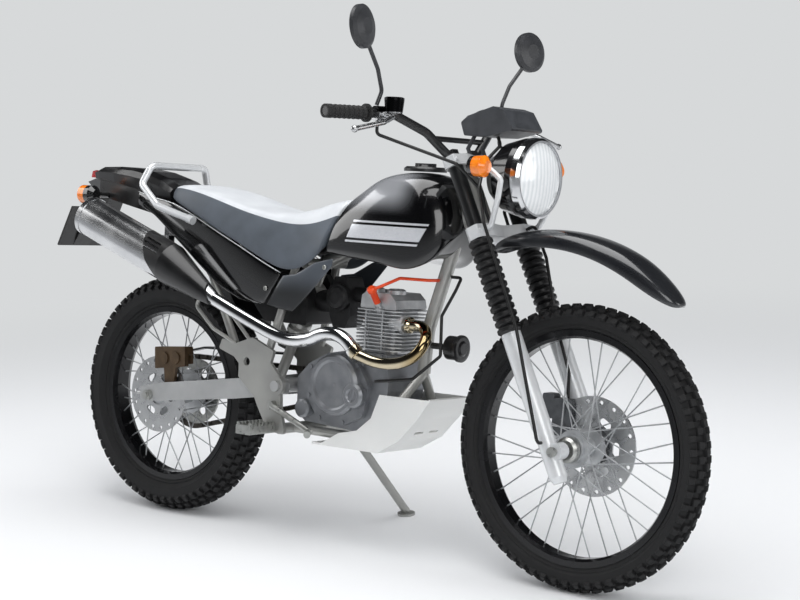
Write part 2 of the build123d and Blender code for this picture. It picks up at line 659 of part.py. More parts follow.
# The joint between the front and rear covers, as (X, Z).
cover_line = [(-172, 720), (-284, 560)]
grab_stub_x, grab_stub_radius = -575.0, 6.0
with BuildPart() as side_covers:
    for side in (-1, 1):
        cover_skins(cover_stations, side)
        stub = rail_at(grab_stub_x, side)
        rod(stub, stub + Vector(0, side * 60, 10), grab_stub_radius + 3, mode=Mode.SUBTRACT)
        plate([cover_line[0], cover_line[1], (0, 560), (0, 720)], -200, 200,
              mode=Mode.SUBTRACT)
        cover_peg(*strut_foot(1, side), side, 740, 109)
pieces["side_covers"] = side_covers

with BuildPart() as side_cover_fronts:
    for side in (-1, 1):
        cover_skins(front_cover_stations, side)
        cover_peg(*strut_foot(-1, side), side, 650, 119)
    plate([(cover_line[0][0] + gap, cover_line[0][1]), (cover_line[1][0] + gap,
                                                        cover_line[1][1]),
           (-400, 560), (-400, 720)], -200, 200, mode=Mode.SUBTRACT)
pieces["side_cover_fronts"] = side_cover_fronts

# ---------------------------------------------------------------- tail
# X, Z of the mudguard's top, half width and top Z of the cowl above it.
tail_stations = [
    (-652, 858, 82, 903), (-700, 869, 84, 925), (-760, 884, 80, 940), (-823, 893, 74, 948),
    (-900, 904, 66, 950), (-979, 911, 50, 947), (-1000, 912, 44, 940),
]


fender_half = 59.0          # where the indicator stalks leave it


def over_rear_tyre(clearance, angle):
    """A point (X, Z) above the rear tyre's tread, at an angle from straight ahead."""
    reach = rear_tyre_radius + clearance
    return (rear_axle_at.X + reach * cos(radians(angle)),
            rear_axle_at.Z + reach * sin(radians(angle)))


with BuildPart() as rear_fender:
    plate([(x, top) for x, top, half, roof in tail_stations]
          + [(-1060, 902), (-974, 868), (-860, 846), (-700, 818), (-620, 780)]
          + [over_rear_tyre(clearance, angle) for clearance, angle in
             ((70, 70.5), (22, 45), (30, 36), (45, 38.5), (66, 53.5), (115, 69.8))]
          + [(-600, 810)], -64, 64)
    with BuildSketch(Plane.XY.offset(500)):
        Polygon((-380, 60), (-650, 64), (-880, fender_half), (-960, fender_half), (-1062, 14),
                (-1062, -14), (-960, -fender_half), (-880, -fender_half), (-650, -64),
                (-380, -60), align=None)
    extrude(amount=500, mode=Mode.INTERSECT)
    for side in (-1, 1):
        boss = rail_at(-622, side)
        rod(boss + Vector(0, -side * 20, 0), boss - Vector(0, side * (rail_radius + gap), 0),
            5)
pieces["rear_fender"] = rear_fender

with BuildPart() as tail_cowl:
    skin([(Plane((x, 0, 0), x_dir=(0, 1, 0), z_dir=(1, 0, 0)),
           both([(half * 0.5, roof), (half * 0.86, roof - 8),
                 (half, (roof + low) / 2 + 4), (half * 0.92, low + 0.6)]))
          for x, low, half, roof in tail_stations])
pieces["tail_cowl"] = tail_cowl

lens_x, lens_low, lens_half, lens_high = tail_stations[-1]
with BuildPart() as tail_lamp:
    plate([(lens_x - gap, lens_low + 3), (lens_x - gap, lens_high - 3),
           (lens_x - 16, lens_high - 7), (lens_x - 20, lens_low + 3)],
          -lens_half + 5, lens_half - 5, corner=2)
pieces["tail_lamp"] = tail_lamp

plate_outline = [(-1048, 830), (-1104, 716), (-1098, 714), (-1042, 828)]
with BuildPart() as plate_holder:
    plate([(-988, 872.4), (-1048, 830), (-1104, 716), (-1098, 714), (-1036, 800),
           (-970, 820), (-950, 862.2), (-974, 867.4)], -30, 30)
    plate(plate_outline, -85, 85)
pieces["plate_holder"] = plate_holder

indicator_radius = 26.0
rear_indicator_at = (-925.0, 125.0, 867.0)
with BuildPart() as rear_indicators:
    for side in (-1, 1):
        centre = Vector(rear_indicator_at[0], side * rear_indicator_at[1],
                        rear_indicator_at[2])
        rod((centre.X, side * (fender_half + gap), centre.Z), centre, 8)
        turned(centre + Vector(-34, 0, 0), (1, 0, 0),
               [(0, 0), (0, 16), (6, indicator_radius), (46, indicator_radius),
                (58, 14), (58, 0)])
pieces["rear_indicators"] = rear_indicators

with BuildPart() as grab_rail:
    rail_path = [(-505, 138, 815), (-640, 138, 848), (-716, 128, 904), (-706, 104, 956)]
    pipe([(x, -y, z) for x, y, z in rail_path] + list(reversed(rail_path)), 10, 20)
    for side in (-1, 1):
        stub = rail_at(grab_stub_x, side) + Vector(0, side * (rail_radius + 0.9), 0)
        rod(stub, (grab_stub_x, side * 138, 832), grab_stub_radius)
        turned((-505, side * 138, 815), (-135, 0, 33), [(-3, 0), (-3, 12), (16, 12), (16, 0)])
pieces["grab_rail"] = grab_rail

# ---------------------------------------------------------------- swingarm
arm_near, arm_far = 90.0, 109.0
nut_radius = 14.0
rear_x, rear_z = rear_axle_at.X, rear_axle_at.Z
with BuildPart() as swingarm:
    for side in (-1, 1):
        plate([(pivot_x + 16, pivot_z + 12), (pivot_x - 30, pivot_z + 26),
               (pivot_x - 151, pivot_z + 4), (rear_x + 32, rear_z + 36),
               (rear_x - 34, rear_z + 20), (rear_x - 34, rear_z - 20),
               (rear_x + 32, rear_z - 14), (pivot_x - 151, pivot_z - 50),
               (pivot_x - 30, pivot_z - 30), (pivot_x + 16, pivot_z - 20)],
              side * arm_near, side * arm_far, corner=5)
        adjuster = Vector(rear_x - 30, side * (arm_near + arm_far) / 2, rear_z)
        rod(adjuster, adjuster - Vector(22, 0, 0), 5)
    disc((pivot_x, pivot_z), 18, -arm_near, arm_near)
    disc((pivot_x, pivot_z), 8, -128, 128)
    for side in (-1, 1):
        disc((pivot_x, pivot_z), nut_radius, side * 124.4, side * 132)
    rod((arm_brace.X, -arm_near, arm_brace.Z), (arm_brace.X, arm_near, arm_brace.Z),
        arm_brace_radius)
    disc((rear_x, rear_z), axle_radius + gap, -130, 130, mode=Mode.SUBTRACT)
pieces["swingarm"] = swingarm

with BuildPart() as rear_axle:
    disc((rear_x, rear_z), axle_radius, -126, 126)
    for side in (-1, 1):
        disc((rear_x, rear_z), nut_radius, side * (arm_far + gap), side * 120)
pieces["rear_axle"] = rear_axle

spring_start, spring_end = 118.0, 40.0
coil_count = 8
with BuildPart() as rear_shock:
    rod(shock_low, shock_high, 14)
    spring_length = (shock_high - shock_low).length - spring_start - spring_end
    coil = spring_length / coil_count
    turned(shock_low + shock_way * spring_start, shock_way,
           [(0, 0)] + [(coil * (k + share), radius) for k in range(coil_count)
                       for share, radius in ((0, 24), (0.25, spring_radius),
                                             (0.75, spring_radius))]
           + [(spring_length, 24), (spring_length, 0)])
pieces["rear_shock"] = rear_shock

# The rear caliper straddles the disc; (X, Z) from the axle, inner and outer Y.
with BuildPart() as rear_caliper:
    for outline, near, far in (
            ([(-4, 132), (112, 142), (116, 88), (0, 72)], -90, -76),
            ([(-4, 132), (112, 142), (116, 118), (0, 110)], -77, -62),
            ([(-4, 132), (112, 142), (116, 94), (0, 84)], -68, -58),
            ([(32, 94), (82, 94), (72, 24), (42, 24)], -89.7, -80)):
        plate([(rear_x + x, rear_z + z) for x, z in outline], near, far, corner=4)
    for x, z in ((34, 104), (78, 108)):
        disc((rear_x + x, rear_z + z), 17, -94, -88)
pieces["rear_caliper"] = rear_caliper

# ---------------------------------------------------------------- chain drive
chain_way = Vector(sprocket_x - rear_x, 0, sprocket_z - rear_z)
chain_spread = asin((rear_sprocket_radius - front_sprocket_radius) / chain_way.length)
with BuildPart() as chain:
    for grow, mode in ((chain_half_height, Mode.ADD),
                       (-chain_half_height, Mode.SUBTRACT)):
        with BuildSketch(Plane.XZ.offset(-chain_y)) as loop:
            with Locations((rear_x, rear_z)):
                Circle(rear_sprocket_radius + grow)
            with Locations((sprocket_x, sprocket_z)):
                Circle(front_sprocket_radius + grow)
            make_hull()
        extrude(loop.sketch, amount=chain_half_width, both=True, mode=mode)
    # Gaps between the outer link plates along both straight runs.
    link_gaps = []
    for side in (-1, 1):
        tilt = atan2(chain_way.Z, chain_way.X) + side * (radians(90) - chain_spread)
        out = Vector(cos(tilt), 0, sin(tilt))
        start = Vector(rear_x, chain_y, rear_z) + out * rear_sprocket_radius
        end = Vector(sprocket_x, chain_y, sprocket_z) + out * front_sprocket_radius
        run = end - start
        links = int(run.length / (2 * chain_pitch))
        link_gaps += [Plane(start + run * ((k + 0.5) / links), x_dir=run,
                            z_dir=(0, 1, 0)) for k in range(links)]
    with Locations(*link_gaps):
        with Locations((0, 0, -chain_half_width), (0, 0, chain_half_width)):
            Box(6, 2 * chain_half_height + 2, 7, mode=Mode.SUBTRACT)
pieces["chain"] = chain

with BuildPart() as chain_guard:
    plate([(pivot_x - 141, pivot_z + 60), (rear_x + 32, rear_z + 124),
           (rear_x - 88, rear_z + 94), (rear_x - 90, rear_z + 100),
           (rear_x + 32, rear_z + 130), (pivot_x - 141, pivot_z + 66)], 66, 89.7)
    for share in (0.3, 0.7):
        top = Vector(pivot_x - 141, 0, pivot_z + 61.5) * (1 - share) \
            + Vector(rear_x + 32, 0, rear_z + 125.5) * share
        plate([(top.X, top.Z), (top.X - 24, top.Z), (top.X - 24, top.Z - 84),
               (top.X, top.Z - 84)], 84.5, 89.7)
pieces["chain_guard"] = chain_guard

# ---------------------------------------------------------------- controls below
peg_in, peg_out = 128.0, 222.0
peg_teeth = 7
peg_at = (-207.0, 295.0)
with BuildPart() as footpegs:
    for side in (-1, 1):
        plate([(peg_at[0] + x, peg_at[1] + z) for x, z in
               ((-25, -14), (-25, 10), (25, 10), (25, -14))], side * peg_in, side * peg_out,
              corner=3)
        plate([(peg_at[0] - 9, peg_at[1] - 11), (peg_at[0] - 9, peg_at[1] + 11),
               (peg_at[0] + 17, peg_at[1] + 11), (peg_at[0] + 17, peg_at[1] - 11)],
              side * (pivot_plate_far + gap), side * peg_in)
        with Locations((peg_at[0], side * (peg_in + peg_out) / 2 + 3 * side, peg_at[1])):
            Box(30, peg_out - peg_in - 26, 60, mode=Mode.SUBTRACT)
        tooth = (peg_out - peg_in) / peg_teeth
        with Locations(*[(peg_at[0] + x, side * (peg_in + tooth * (k + 0.5)),
                          peg_at[1] + 11) for k in range(peg_teeth) for x in (-20, 20)]):
            Box(10, tooth * 0.5, 10)
pieces["footpegs"] = footpegs

# Levers as chains of rods: a shaft out of the engine or frame, the arm, the tread.
with BuildPart() as foot_levers:
    brake_shaft, brake_tip = Vector(-196, -pivot_plate_far - gap, 352), Vector(-44, -146, 300)
    rod(brake_shaft, brake_shaft - Vector(0, 16, 0), 11)
    rod(brake_shaft - Vector(0, 10, 0), brake_tip, 8)
    rod(brake_tip + Vector(-16, 6, 0), brake_tip + Vector(14, -29, -2), 9)
    gear_shaft, gear_tip = Vector(-50, 62 + gap, 340), Vector(44, 138, 330)
    rod(gear_shaft, gear_shaft + Vector(0, 64, 0), 7)
    rod(gear_shaft + Vector(0, 58, 0), gear_tip, 7)
    rod(gear_tip - Vector(4, 4, 0), gear_tip + Vector(-4, 40, 0), 9)
pieces["foot_levers"] = foot_levers

skid_half, skid_thickness = 89.0, 4.0
skid_bottom = [(-88, 262), (130, 265), (196, 303), (250, 362), (288, 414)]
skid_inside = [(284, 417), (247, 366), (194, 308), (128, 270), (-88, 267)]
with BuildPart() as skid_plate:
    plate(skid_bottom + skid_inside, -skid_half, skid_half)
    for side in (-1, 1):
        plate(skid_bottom[1:] + [(128, 412), (104, 350), (60, 314), (0, 300), (-60, 265)],
              side * (skid_half - skid_thickness), side * skid_half)
        for x in skid_boss_x:
            rod((x, side * cradle_half_spacing, 265),
                (x, side * cradle_half_spacing, cradle_z - cradle_radius - gap), 8)
        with Locations(Plane((212, side * 30, 322), x_dir=(0, 1, 0), z_dir=(-0.73, 0, 0.68))):
            Box(34, 9, 40, mode=Mode.SUBTRACT)
pieces["skid_plate"] = skid_plate

horn_seat = Vector(219, 0, horn_z)
with BuildPart() as horn:
    turned(horn_seat, (1, 0, 0),
           [(0, 0), (0, 8), (46, 8), (46, 18), (54, 30), (82, 30), (86, 34), (92, 34),
            (94, 28), (94, 20), (98, 14), (98, 0)])
pieces["horn"] = horn

# ---------------------------------------------------------------- side stand
with BuildPart() as side_stand:
    rod(stand_pivot, stand_end, 11)
    rod(stand_pivot - stand_axis * stand_head_half,
        stand_pivot + stand_axis * stand_head_half, 16)
    rod(stand_pivot - stand_axis * 24, stand_pivot + stand_axis * 24,
        stand_pin_radius + running_gap, mode=Mode.SUBTRACT)
    rod(stand_sole, stand_sole + leaning_normal * 6, 24)
pieces["side_stand"] = side_stand

# ---------------------------------------------------------------- fork
front_x, front_z = front_axle_at.X, front_axle_at.Z
boot_top = lower_crown_base - gap
boot_bottom = 300.0
slider_bottom = -70.0
crown_half = [(-24, 24), (6, 70), (20, 112), (30, 120), (60, 120), (68, 70), (56, 12)]
with BuildPart() as fork_crowns:
    for mid_z, height in ((lower_crown_z, lower_crown_height),
                          (upper_crown_z, upper_crown_height)):
        with BuildSketch(steering.offset(mid_z - height / 2)):
            Polygon(*crown_half, *[(x, -y) for x, y in reversed(crown_half)], align=None)
            fillet(vertices(), 5)
            with Locations(*[(leg_offset, side * leg_half_spacing) for side in (-1, 1)]):
                Circle(stanchion_radius + gap, mode=Mode.SUBTRACT)
        extrude(amount=height)
    rod(on_steering(0, 0, lower_crown_z), on_steering(0, 0, upper_crown_z), stem_radius)
    turned(on_steering(0, 0, upper_crown_top - 1), upward,
           [(0, 0), (0, 19), (7, 19), (8, 16), (8, 0)])
    for side in (-1, 1):
        for bolt_z in (lower_crown_z, upper_crown_z):
            rod(on_steering(59, side * 112, bolt_z), on_steering(66, side * 112, bolt_z), 5)
pieces["fork_crowns"] = fork_crowns

caliper_lug = [(-50, 39), (-50, 79), (-92, 89), (-92, 39)]
with BuildPart() as fork_legs:
    for side in (-1, 1):
        y = side * leg_half_spacing
        turned(on_steering(leg_offset, y, boot_bottom - 20), upward,
               [(0, 0), (0, stanchion_radius), (stanchion_top - boot_bottom + 12,
                                                stanchion_radius),
                (stanchion_top - boot_bottom + 20, stanchion_radius - 4),
                (stanchion_top - boot_bottom + 20, 0)])
        turned(on_steering(leg_offset, y, slider_bottom), upward,
               [(0, 0), (0, 16), (14, slider_radius - 2), (120, slider_radius - 2),
                (140, slider_radius), (boot_bottom - slider_bottom, slider_radius),
                (boot_bottom - slider_bottom, 0)])
        disc((front_x, front_z), 20, y - 16, y + 16)
    disc((front_x, front_z), axle_radius + gap, -130, 130, mode=Mode.SUBTRACT)
    plate([(front_x + x, front_z + z) for x, z in caliper_lug], 70.5, 84)
pieces["fork_legs"] = fork_legs

boot_pitch = (boot_top - boot_bottom - gap) / boot_ribs
with BuildPart() as fork_boots:
    for side in (-1, 1):
        y = side * leg_half_spacing
        bore = stanchion_radius + gap
        turned(on_steering(leg_offset, y, boot_bottom + gap), upward,
               [(0, bore)] + [(boot_pitch * (k + share), radius) for k in range(boot_ribs)
                              for share, radius in ((0, boot_radius - 6), (0.3, boot_radius),
                                                    (0.7, boot_radius))]
               + [(boot_pitch * boot_ribs, boot_radius - 6),
                  (boot_pitch * boot_ribs, bore)])
pieces["fork_boots"] = fork_boots

with BuildPart() as front_axle:
    disc((front_x, front_z), axle_radius, -127, 127)
    turned(front_axle_at + Vector(0, -49, 0), (0, -1, 0),
           [(0, 0), (0, 30), (13, 30), (19, 24), (19, 0)])
    for side in (-1, 1):
        disc((front_x, front_z), 12, side * (leg_half_spacing + slider_radius + gap),
             side * 127)
pieces["front_axle"] = front_axle

# Radial sections about the axle: angle from the steering frame's x, radius of the crest,
# half width, drop of the edge below the crest.
fender_stations = [
    (95.5, 525.4, 34, 13), (90.8, 539.4, 48, 24), (82.5, 532.4, 60, 44),
    (74.5, 520.6, 64, 46), (65.9, 506.3, 64, 46), (56.8, 491.9, 63, 46),
    (47.1, 476.6, 60, 46), (38.9, 459.2, 53, 40), (32.1, 446.2, 40, 26),
    (28.5, 437.0, 22, 10),
]
fender_thickness = 3.5


def fender_ring(radius, half, drop):
    """One arched section of the front mudguard, as (Y, radius) points."""
    arch = [(half, radius - drop), (half * 0.97, radius - drop * 0.45),
            (half * 0.72, radius - drop * 0.1), (half * 0.3, radius)]
    under = [(y - fender_thickness * (1 if k < 2 else 0), r - fender_thickness)
             for k, (y, r) in enumerate(arch)]
    under[0] = (half - fender_thickness, radius - drop)
    return ([(-y, r) for y, r in arch] + arch[::-1]
            + under + [(-y, r) for y, r in under[::-1]])


with BuildPart() as front_fender:
    rings = []
    for angle, radius, half, drop in fender_stations:
        out = ahead * cos(radians(angle)) + upward * sin(radians(angle))
        rings.append((Plane(front_axle_at, x_dir=(0, 1, 0),
                            z_dir=Vector(0, 1, 0).cross(out)),
                      fender_ring(radius, half, drop)))
    skin(rings)
pieces["front_fender"] = front_fender

# ---------------------------------------------------------------- lamps
lamp_at = on_steering(173.7, 0, 643.1)
lamp_radius = 96.0
stay_radius = 7.0
stay_path = [(64.6, 96, 556), (86, 99.4, 556), (139.2, 117, 602.1), (164.8, 117, 640.8),
             (140, 117, 684)]
lug_at = (145.4, 612.8)
with BuildPart() as headlight_shell:
    turned(lamp_at, (1, 0, 0),
           [(-108, 0), (-104, 34), (-92, 58), (-60, 84), (-14, lamp_radius),
            (4, lamp_radius), (4, 0)])
    for side in (-1, 1):
        rod(on_steering(lug_at[0], side * 80, lug_at[1]),
            on_steering(lug_at[0], side * (117 - stay_radius - 0.6), lug_at[1]), 6)
pieces["headlight_shell"] = headlight_shell

lens_radius = 86.0
with BuildPart() as headlight_ring:
    turned(lamp_at, (1, 0, 0),
           [(4.3, lens_radius + gap), (4.3, lamp_radius + 2), (20, lamp_radius + 1),
            (27, lamp_radius - 5), (27, lens_radius + gap)])
pieces["headlight_ring"] = headlight_ring

with BuildPart() as headlight_lens:
    turned(lamp_at, (1, 0, 0),
           [(4.3, 0), (4.3, lens_radius), (22, lens_radius), (29, 66), (34, 40), (36, 16),
            (36, 0)])
pieces["headlight_lens"] = headlight_lens

with BuildPart() as lamp_stays:
    for side in (-1, 1):
        pipe([on_steering(x, side * y, z) for x, y, z in stay_path], stay_radius, 12)
pieces["lamp_stays"] = lamp_stays

with BuildPart() as front_indicators:
    for side in (-1, 1):
        x, y, z = stay_path[-1]
        centre = on_steering(x, side * (y + 37), z)
        rod(on_steering(x, side * (y + stay_radius + gap), z), centre, 7)
        turned(centre + Vector(-27, 0, 0), (1, 0, 0),
               [(0, 0), (0, 12), (10, indicator_radius - 2), (46, indicator_radius),
                (56, 14), (56, 0)])
pieces["front_indicators"] = front_indicators

# ---------------------------------------------------------------- handlebar
bar_radius = 11.1
bar_clamp = (3.4, upper_crown_top + 20)
# Half of the bar: forwards and upwards from the clamp, and out from the middle.
bar_half = [(0, 52, 0), (7, 125, 58), (-12, 205, 110), (-48, 412, 122)]


def on_bar(forward, out, up):
    """A point given from the handlebar's clamp."""
    return on_steering(bar_clamp[0] + forward, out, bar_clamp[1] + up)


def bar_point(out):
    """The bar's centre line outside its last bend, at a distance out."""
    (f0, o0, u0), (f1, o1, u1) = bar_half[-2:]
    share = (abs(out) - o0) / (o1 - o0)
    return on_bar(f0 + (f1 - f0) * share, out, u0 + (u1 - u0) * share)


clamp_spacing = 40.0
with BuildPart() as handlebar:
    bar_path = ([on_bar(f, -o, u) for f, o, u in reversed(bar_half)]
                + [on_bar(f, o, u) for f, o, u in bar_half])
    pipe(bar_path, bar_radius, 50)
    rod(on_bar(6, -108, 44), on_bar(6, 108, 44), 7)
    for side in (-1, 1):
        with BuildSketch(steering.offset(upper_crown_top + gap)):
            with Locations((bar_clamp[0] - 2, side * clamp_spacing)):
                RectangleRounded(34, 26, 4)
        extrude(amount=35)
pieces["handlebar"] = handlebar

grip_start, grip_end = 290.0, 415.0
grip_ribs = 9
with BuildPart() as grips:
    for side in (-1, 1):
        way = bar_point(side * grip_end) - bar_point(side * grip_start)
        step = way.length / grip_ribs
        turned(bar_point(side * grip_start), way,
               [(-4, bar_radius + gap), (-4, 22), (2, 22)]
               + [(step * (k + share) + 2, radius) for k in range(grip_ribs - 1)
                  for share, radius in ((0.1, 15.4), (0.5, 16.8))]
               + [(way.length - 2, 16.4), (way.length - 2, bar_radius + gap)])
pieces["grips"] = grips

perch_out, perch_half = 250.0, 13.0
lever_tip = (25.8, 419.0, 816.5)
with BuildPart() as hand_levers:
    for side in (-1, 1):
        rod(bar_point(side * (perch_out - perch_half)),
            bar_point(side * (perch_out + perch_half)), 18)
        base = bar_point(side * perch_out) + Vector(20, 0, 0)
        tip = on_steering(lever_tip[0], side * lever_tip[1], lever_tip[2])
        pipe([base - Vector(8, 0, 0), base + Vector(32, side * 8, -8),
              base + Vector(54, side * 70, -24), tip], 6, 16)
        with Locations(tip):
            Sphere(8.5)
        rod(bar_point(side * (perch_out - perch_half - 1)),
            bar_point(side * (perch_out + perch_half + 1)), bar_radius + gap,
            mode=Mode.SUBTRACT)
    # The brake's fluid reservoir, on the right.
    tank_foot = bar_point(-perch_out) + Vector(37, 10, 2)
    turned(tank_foot, (0, 0, 1), [(0, 0), (0, 21), (30, 24), (36, 24), (38, 20), (38, 0)])
pieces["hand_levers"] = hand_levers

mirror_at = (77.5, 343.0, 1059.4)
mirror_radius = 52.0
with BuildPart() as mirrors:
    for side in (-1, 1):
        foot = bar_point(side * perch_out) + Vector(-4, side * 6, 19.5)
        face = on_steering(mirror_at[0], side * mirror_at[1], mirror_at[2])
        pipe([foot, foot + Vector(6, side * -10, 34), foot + Vector(10, side * 14, 84),
              face + Vector(8, 0, -10)], 5, 20)
        turned(face, (18, -side * 3, 2),
               [(2, 0), (2, mirror_radius - 5), (-1, mirror_radius - 4), (-1, mirror_radius),
                (9, mirror_radius), (15, 42), (20, 20), (20, 0)])
pieces["mirrors"] = mirrors

instrument_outline = [(71.1, 800.0), (74.3, 834.0), (99.3, 839.6), (176.4, 828.7),
                      (199.8, 808.4), (207.6, 752.0), (134.0, 769.3)]
instrument_half = 64.0
with BuildPart() as instruments:
    section = [on_steering(x, 0, z) for x, z in instrument_outline]
    plate([(point.X, point.Z) for point in section], -instrument_half, instrument_half,
          corner=6)
    for side in (-1, 1):
        dial = on_steering(130, side * 31, 833)
        turned(dial, (section[2] - section[3]).cross(Vector(0, 1, 0)),
               [(-4, 0), (-4, 29), (7, 29), (7, 26), (3, 25), (3, 0)])
        post_foot = on_steering(48, side * 30, upper_crown_top + gap)
        post_bend = on_steering(48, side * 30, upper_crown_top + 26)
        rod(post_foot, post_bend, 5)
        rod(post_bend - upward * 2, on_steering(84, side * 30, 802), 5)
pieces["instruments"] = instruments

# The front caliper straddles the disc behind the left leg; (X, Z) from the axle.
caliper_side = [(-112, 15), (-56, 15), (-56, 105), (-112, 105)]
caliper_bridge = [(-142, 54), (-110, 54), (-110, 114), (-142, 114)]
caliper_top = Vector(-84, 62, 105)
with BuildPart() as front_caliper:
    for outline, near, far, corner in ((caliper_side, 40, 49, 8), (caliper_side, 55, 70, 8),
                                       (caliper_bridge, 40, 70, 5)):
        plate([(front_x + x, front_z + z) for x, z in outline], near, far, corner=corner)
    for z in (40, 80):
        disc((front_x - 88, front_z + z), 15, 38, 41)
pieces["front_caliper"] = front_caliper

# ---------------------------------------------------------------- cables and hoses
cable_radius = 4.0
with BuildPart() as control_cables:
    cable_start = bar_point(-perch_out) + Vector(-4, 0, -18.8)
    pipe([cable_start, cable_start + Vector(0, 0, -30), on_steering(75, -140, 720),
          on_steering(80, -82, 650), on_steering(50, -46, 610),
          on_steering(50, -45, lower_crown_z + lower_crown_height / 2 + gap)],
         cable_radius, 12)
    cable_start = bar_point(perch_out) + Vector(-4, 0, -18.8)
    pipe([cable_start, cable_start + Vector(0, 0, -30), on_steering(70, 136, 724),
          on_steering(76, 80, 650), on_steering(46, 36, 614),
          on_steering(46, 34, lower_crown_z + lower_crown_height / 2 + gap)],
         cable_radius, 12)
    # Speedometer cable, from the instruments down to the right leg.
    pipe([on_steering(140, -30, 766.4), on_steering(140, -31, 744),
          on_steering(100, -62, 716), on_steering(96, -112, 650),
          on_steering(92, -134, 560), on_steering(88, -138, 300), on_steering(42, -138, 30),
          on_steering(40, -leg_half_spacing - slider_radius - gap, 30)], cable_radius, 12)
pieces["control_cables"] = control_cables

with BuildPart() as brake_hose:
    hose_end = front_axle_at + caliper_top + Vector(0, 0, gap)
    pipe([on_steering(68 + 2 * gap, 72, 556), on_steering(94, 72, 556),
          on_steering(96, 72, 470), on_steering(70, 59, 300),
          hose_end + Vector(0, 0, 60), hose_end], cable_radius, 12)
pieces["brake_hose"] = brake_hose

with BuildPart() as engine_cable:
    pipe([(124, -84 - 2 * gap, 446), (124, -110, 446), (232, -92, 462), (280, -46, 522),
          (270, -36, 620), (302, -26, 686), (298, 0, 716), (268, 0, 716)],
         cable_radius, 10)
pieces["engine_cable"] = engine_cable

with BuildPart() as plug_lead:
    cap_start = plug_at + plug_way * 18
    turned(cap_start, plug_way, [(0, 0), (0, 9), (30, 9), (36, 12), (44, 12), (48, 8), (48, 0)])
    cap_end = cap_start + plug_way * 40
    pipe([cap_end, cap_end + Vector(34, 4, 14), (160, -70, 706), (240, -54, 706),
          (242, -downtube_radius - 2, 706)], cable_radius, 10)
pieces["plug_lead"] = plug_lead

# ---------------------------------------------------------------- parked pose
# Level the ground, lean the machine on its stand, and put the origin under its middle.
levelled = Location((0, 0, 0), (0, degrees(ground_slope), 0))
parked = Location((0, 0, 0), (1, 0, 0), -lean) * levelled
stood = {name: piece.part.moved(parked) for name, piece in pieces.items()}
box = Compound([solid for part in stood.values() for solid in part.solids()]).bounding_box()
to_origin = Location((-box.center().X, -box.center().Y, -box.min.Z))
for name, solid in stood.items():
    placed = solid.moved(to_origin)
    placed.label = name
    export_step(placed, "parts/" + name + ".step")
print("size", box.size, "shift", to_origin.position, "slope", degrees(ground_slope))
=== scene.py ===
import math

import bpy
import bmesh
from mathutils import Matrix, Vector


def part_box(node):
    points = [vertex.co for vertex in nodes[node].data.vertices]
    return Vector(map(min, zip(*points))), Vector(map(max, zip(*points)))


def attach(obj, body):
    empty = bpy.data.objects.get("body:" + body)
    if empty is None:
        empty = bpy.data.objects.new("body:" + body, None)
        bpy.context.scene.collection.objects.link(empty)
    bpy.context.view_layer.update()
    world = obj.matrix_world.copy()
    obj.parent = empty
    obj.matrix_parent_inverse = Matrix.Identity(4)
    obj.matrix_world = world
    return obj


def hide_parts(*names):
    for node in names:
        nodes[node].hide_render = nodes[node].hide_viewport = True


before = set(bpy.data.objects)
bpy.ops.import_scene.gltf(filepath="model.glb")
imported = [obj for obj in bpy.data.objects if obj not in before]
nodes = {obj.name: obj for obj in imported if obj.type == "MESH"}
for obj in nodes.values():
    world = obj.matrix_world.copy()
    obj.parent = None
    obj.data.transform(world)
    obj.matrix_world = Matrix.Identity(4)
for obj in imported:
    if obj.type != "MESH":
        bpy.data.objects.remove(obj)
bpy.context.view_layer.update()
bpy.ops.object.select_all(action="DESELECT")

# The machine stands on its side stand and leans over to its left. Pieces are made upright, in metres,
# with X forward from the middle of the wheelbase and the ground at zero, and then take this place.
lean = math.radians(8)
front_wheel_centre = Vector((0.6725, 0, 0.341))
rear_wheel_centre = Vector((-0.6725, 0, 0.326))
rim_low, rim_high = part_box("front_rim")
upright_to_parked = Matrix.Rotation(-lean, 4, "X")
parked = Matrix.Translation((rim_low + rim_high) / 2 - upright_to_parked @ front_wheel_centre)
parked = parked @ upright_to_parked

# The camera stands low at the front right of the machine, on a long lens, a little tilted.
camera_place = Vector((3.0015, -3.6497, 0.9275))
yaw, pitch, roll = (math.radians(angle) for angle in (38.41, 3.45, 2.94))
sensor_width, focal_pixels, frame_width = 36, 1841.4, 800
ahead = Vector((-math.sin(yaw) * math.cos(pitch), math.cos(yaw) * math.cos(pitch), -math.sin(pitch)))
level_right = Vector((math.cos(yaw), math.sin(yaw), 0))
level_up = level_right.cross(ahead)
camera_right = level_right * math.cos(roll) + level_up * math.sin(roll)
camera_up = level_up * math.cos(roll) - level_right * math.sin(roll)
camera_axes = Matrix((camera_right, camera_up, -ahead)).transposed().to_4x4()
camera_data = bpy.data.cameras.new("camera")
camera_data.sensor_fit = "HORIZONTAL"
camera_data.sensor_width = sensor_width
camera_data.lens = focal_pixels / frame_width * sensor_width
camera = bpy.data.objects.new("camera", camera_data)
camera.matrix_world = parked @ Matrix.Translation(camera_place) @ camera_axes
bpy.context.scene.collection.objects.link(camera)
bpy.context.scene.camera = camera
bpy.context.scene.view_settings.view_transform = "Standard"


# Every colour is written as on a paint card, and every pattern as a size in millimetres.
def linear(colour):
    """Turns a six-digit sRGB colour into the linear values that the shaders take."""
    channels = [int(colour[i:i + 2], 16) / 255 for i in (0, 2, 4)]
    return [c / 12.92 if c <= 0.04045 else ((c + 0.055) / 1.055) ** 2.4 for c in channels] + [1]


def per_mm(size):
    """The texture scale that makes one feature of a pattern this many millimetres."""
    return 1000 / size


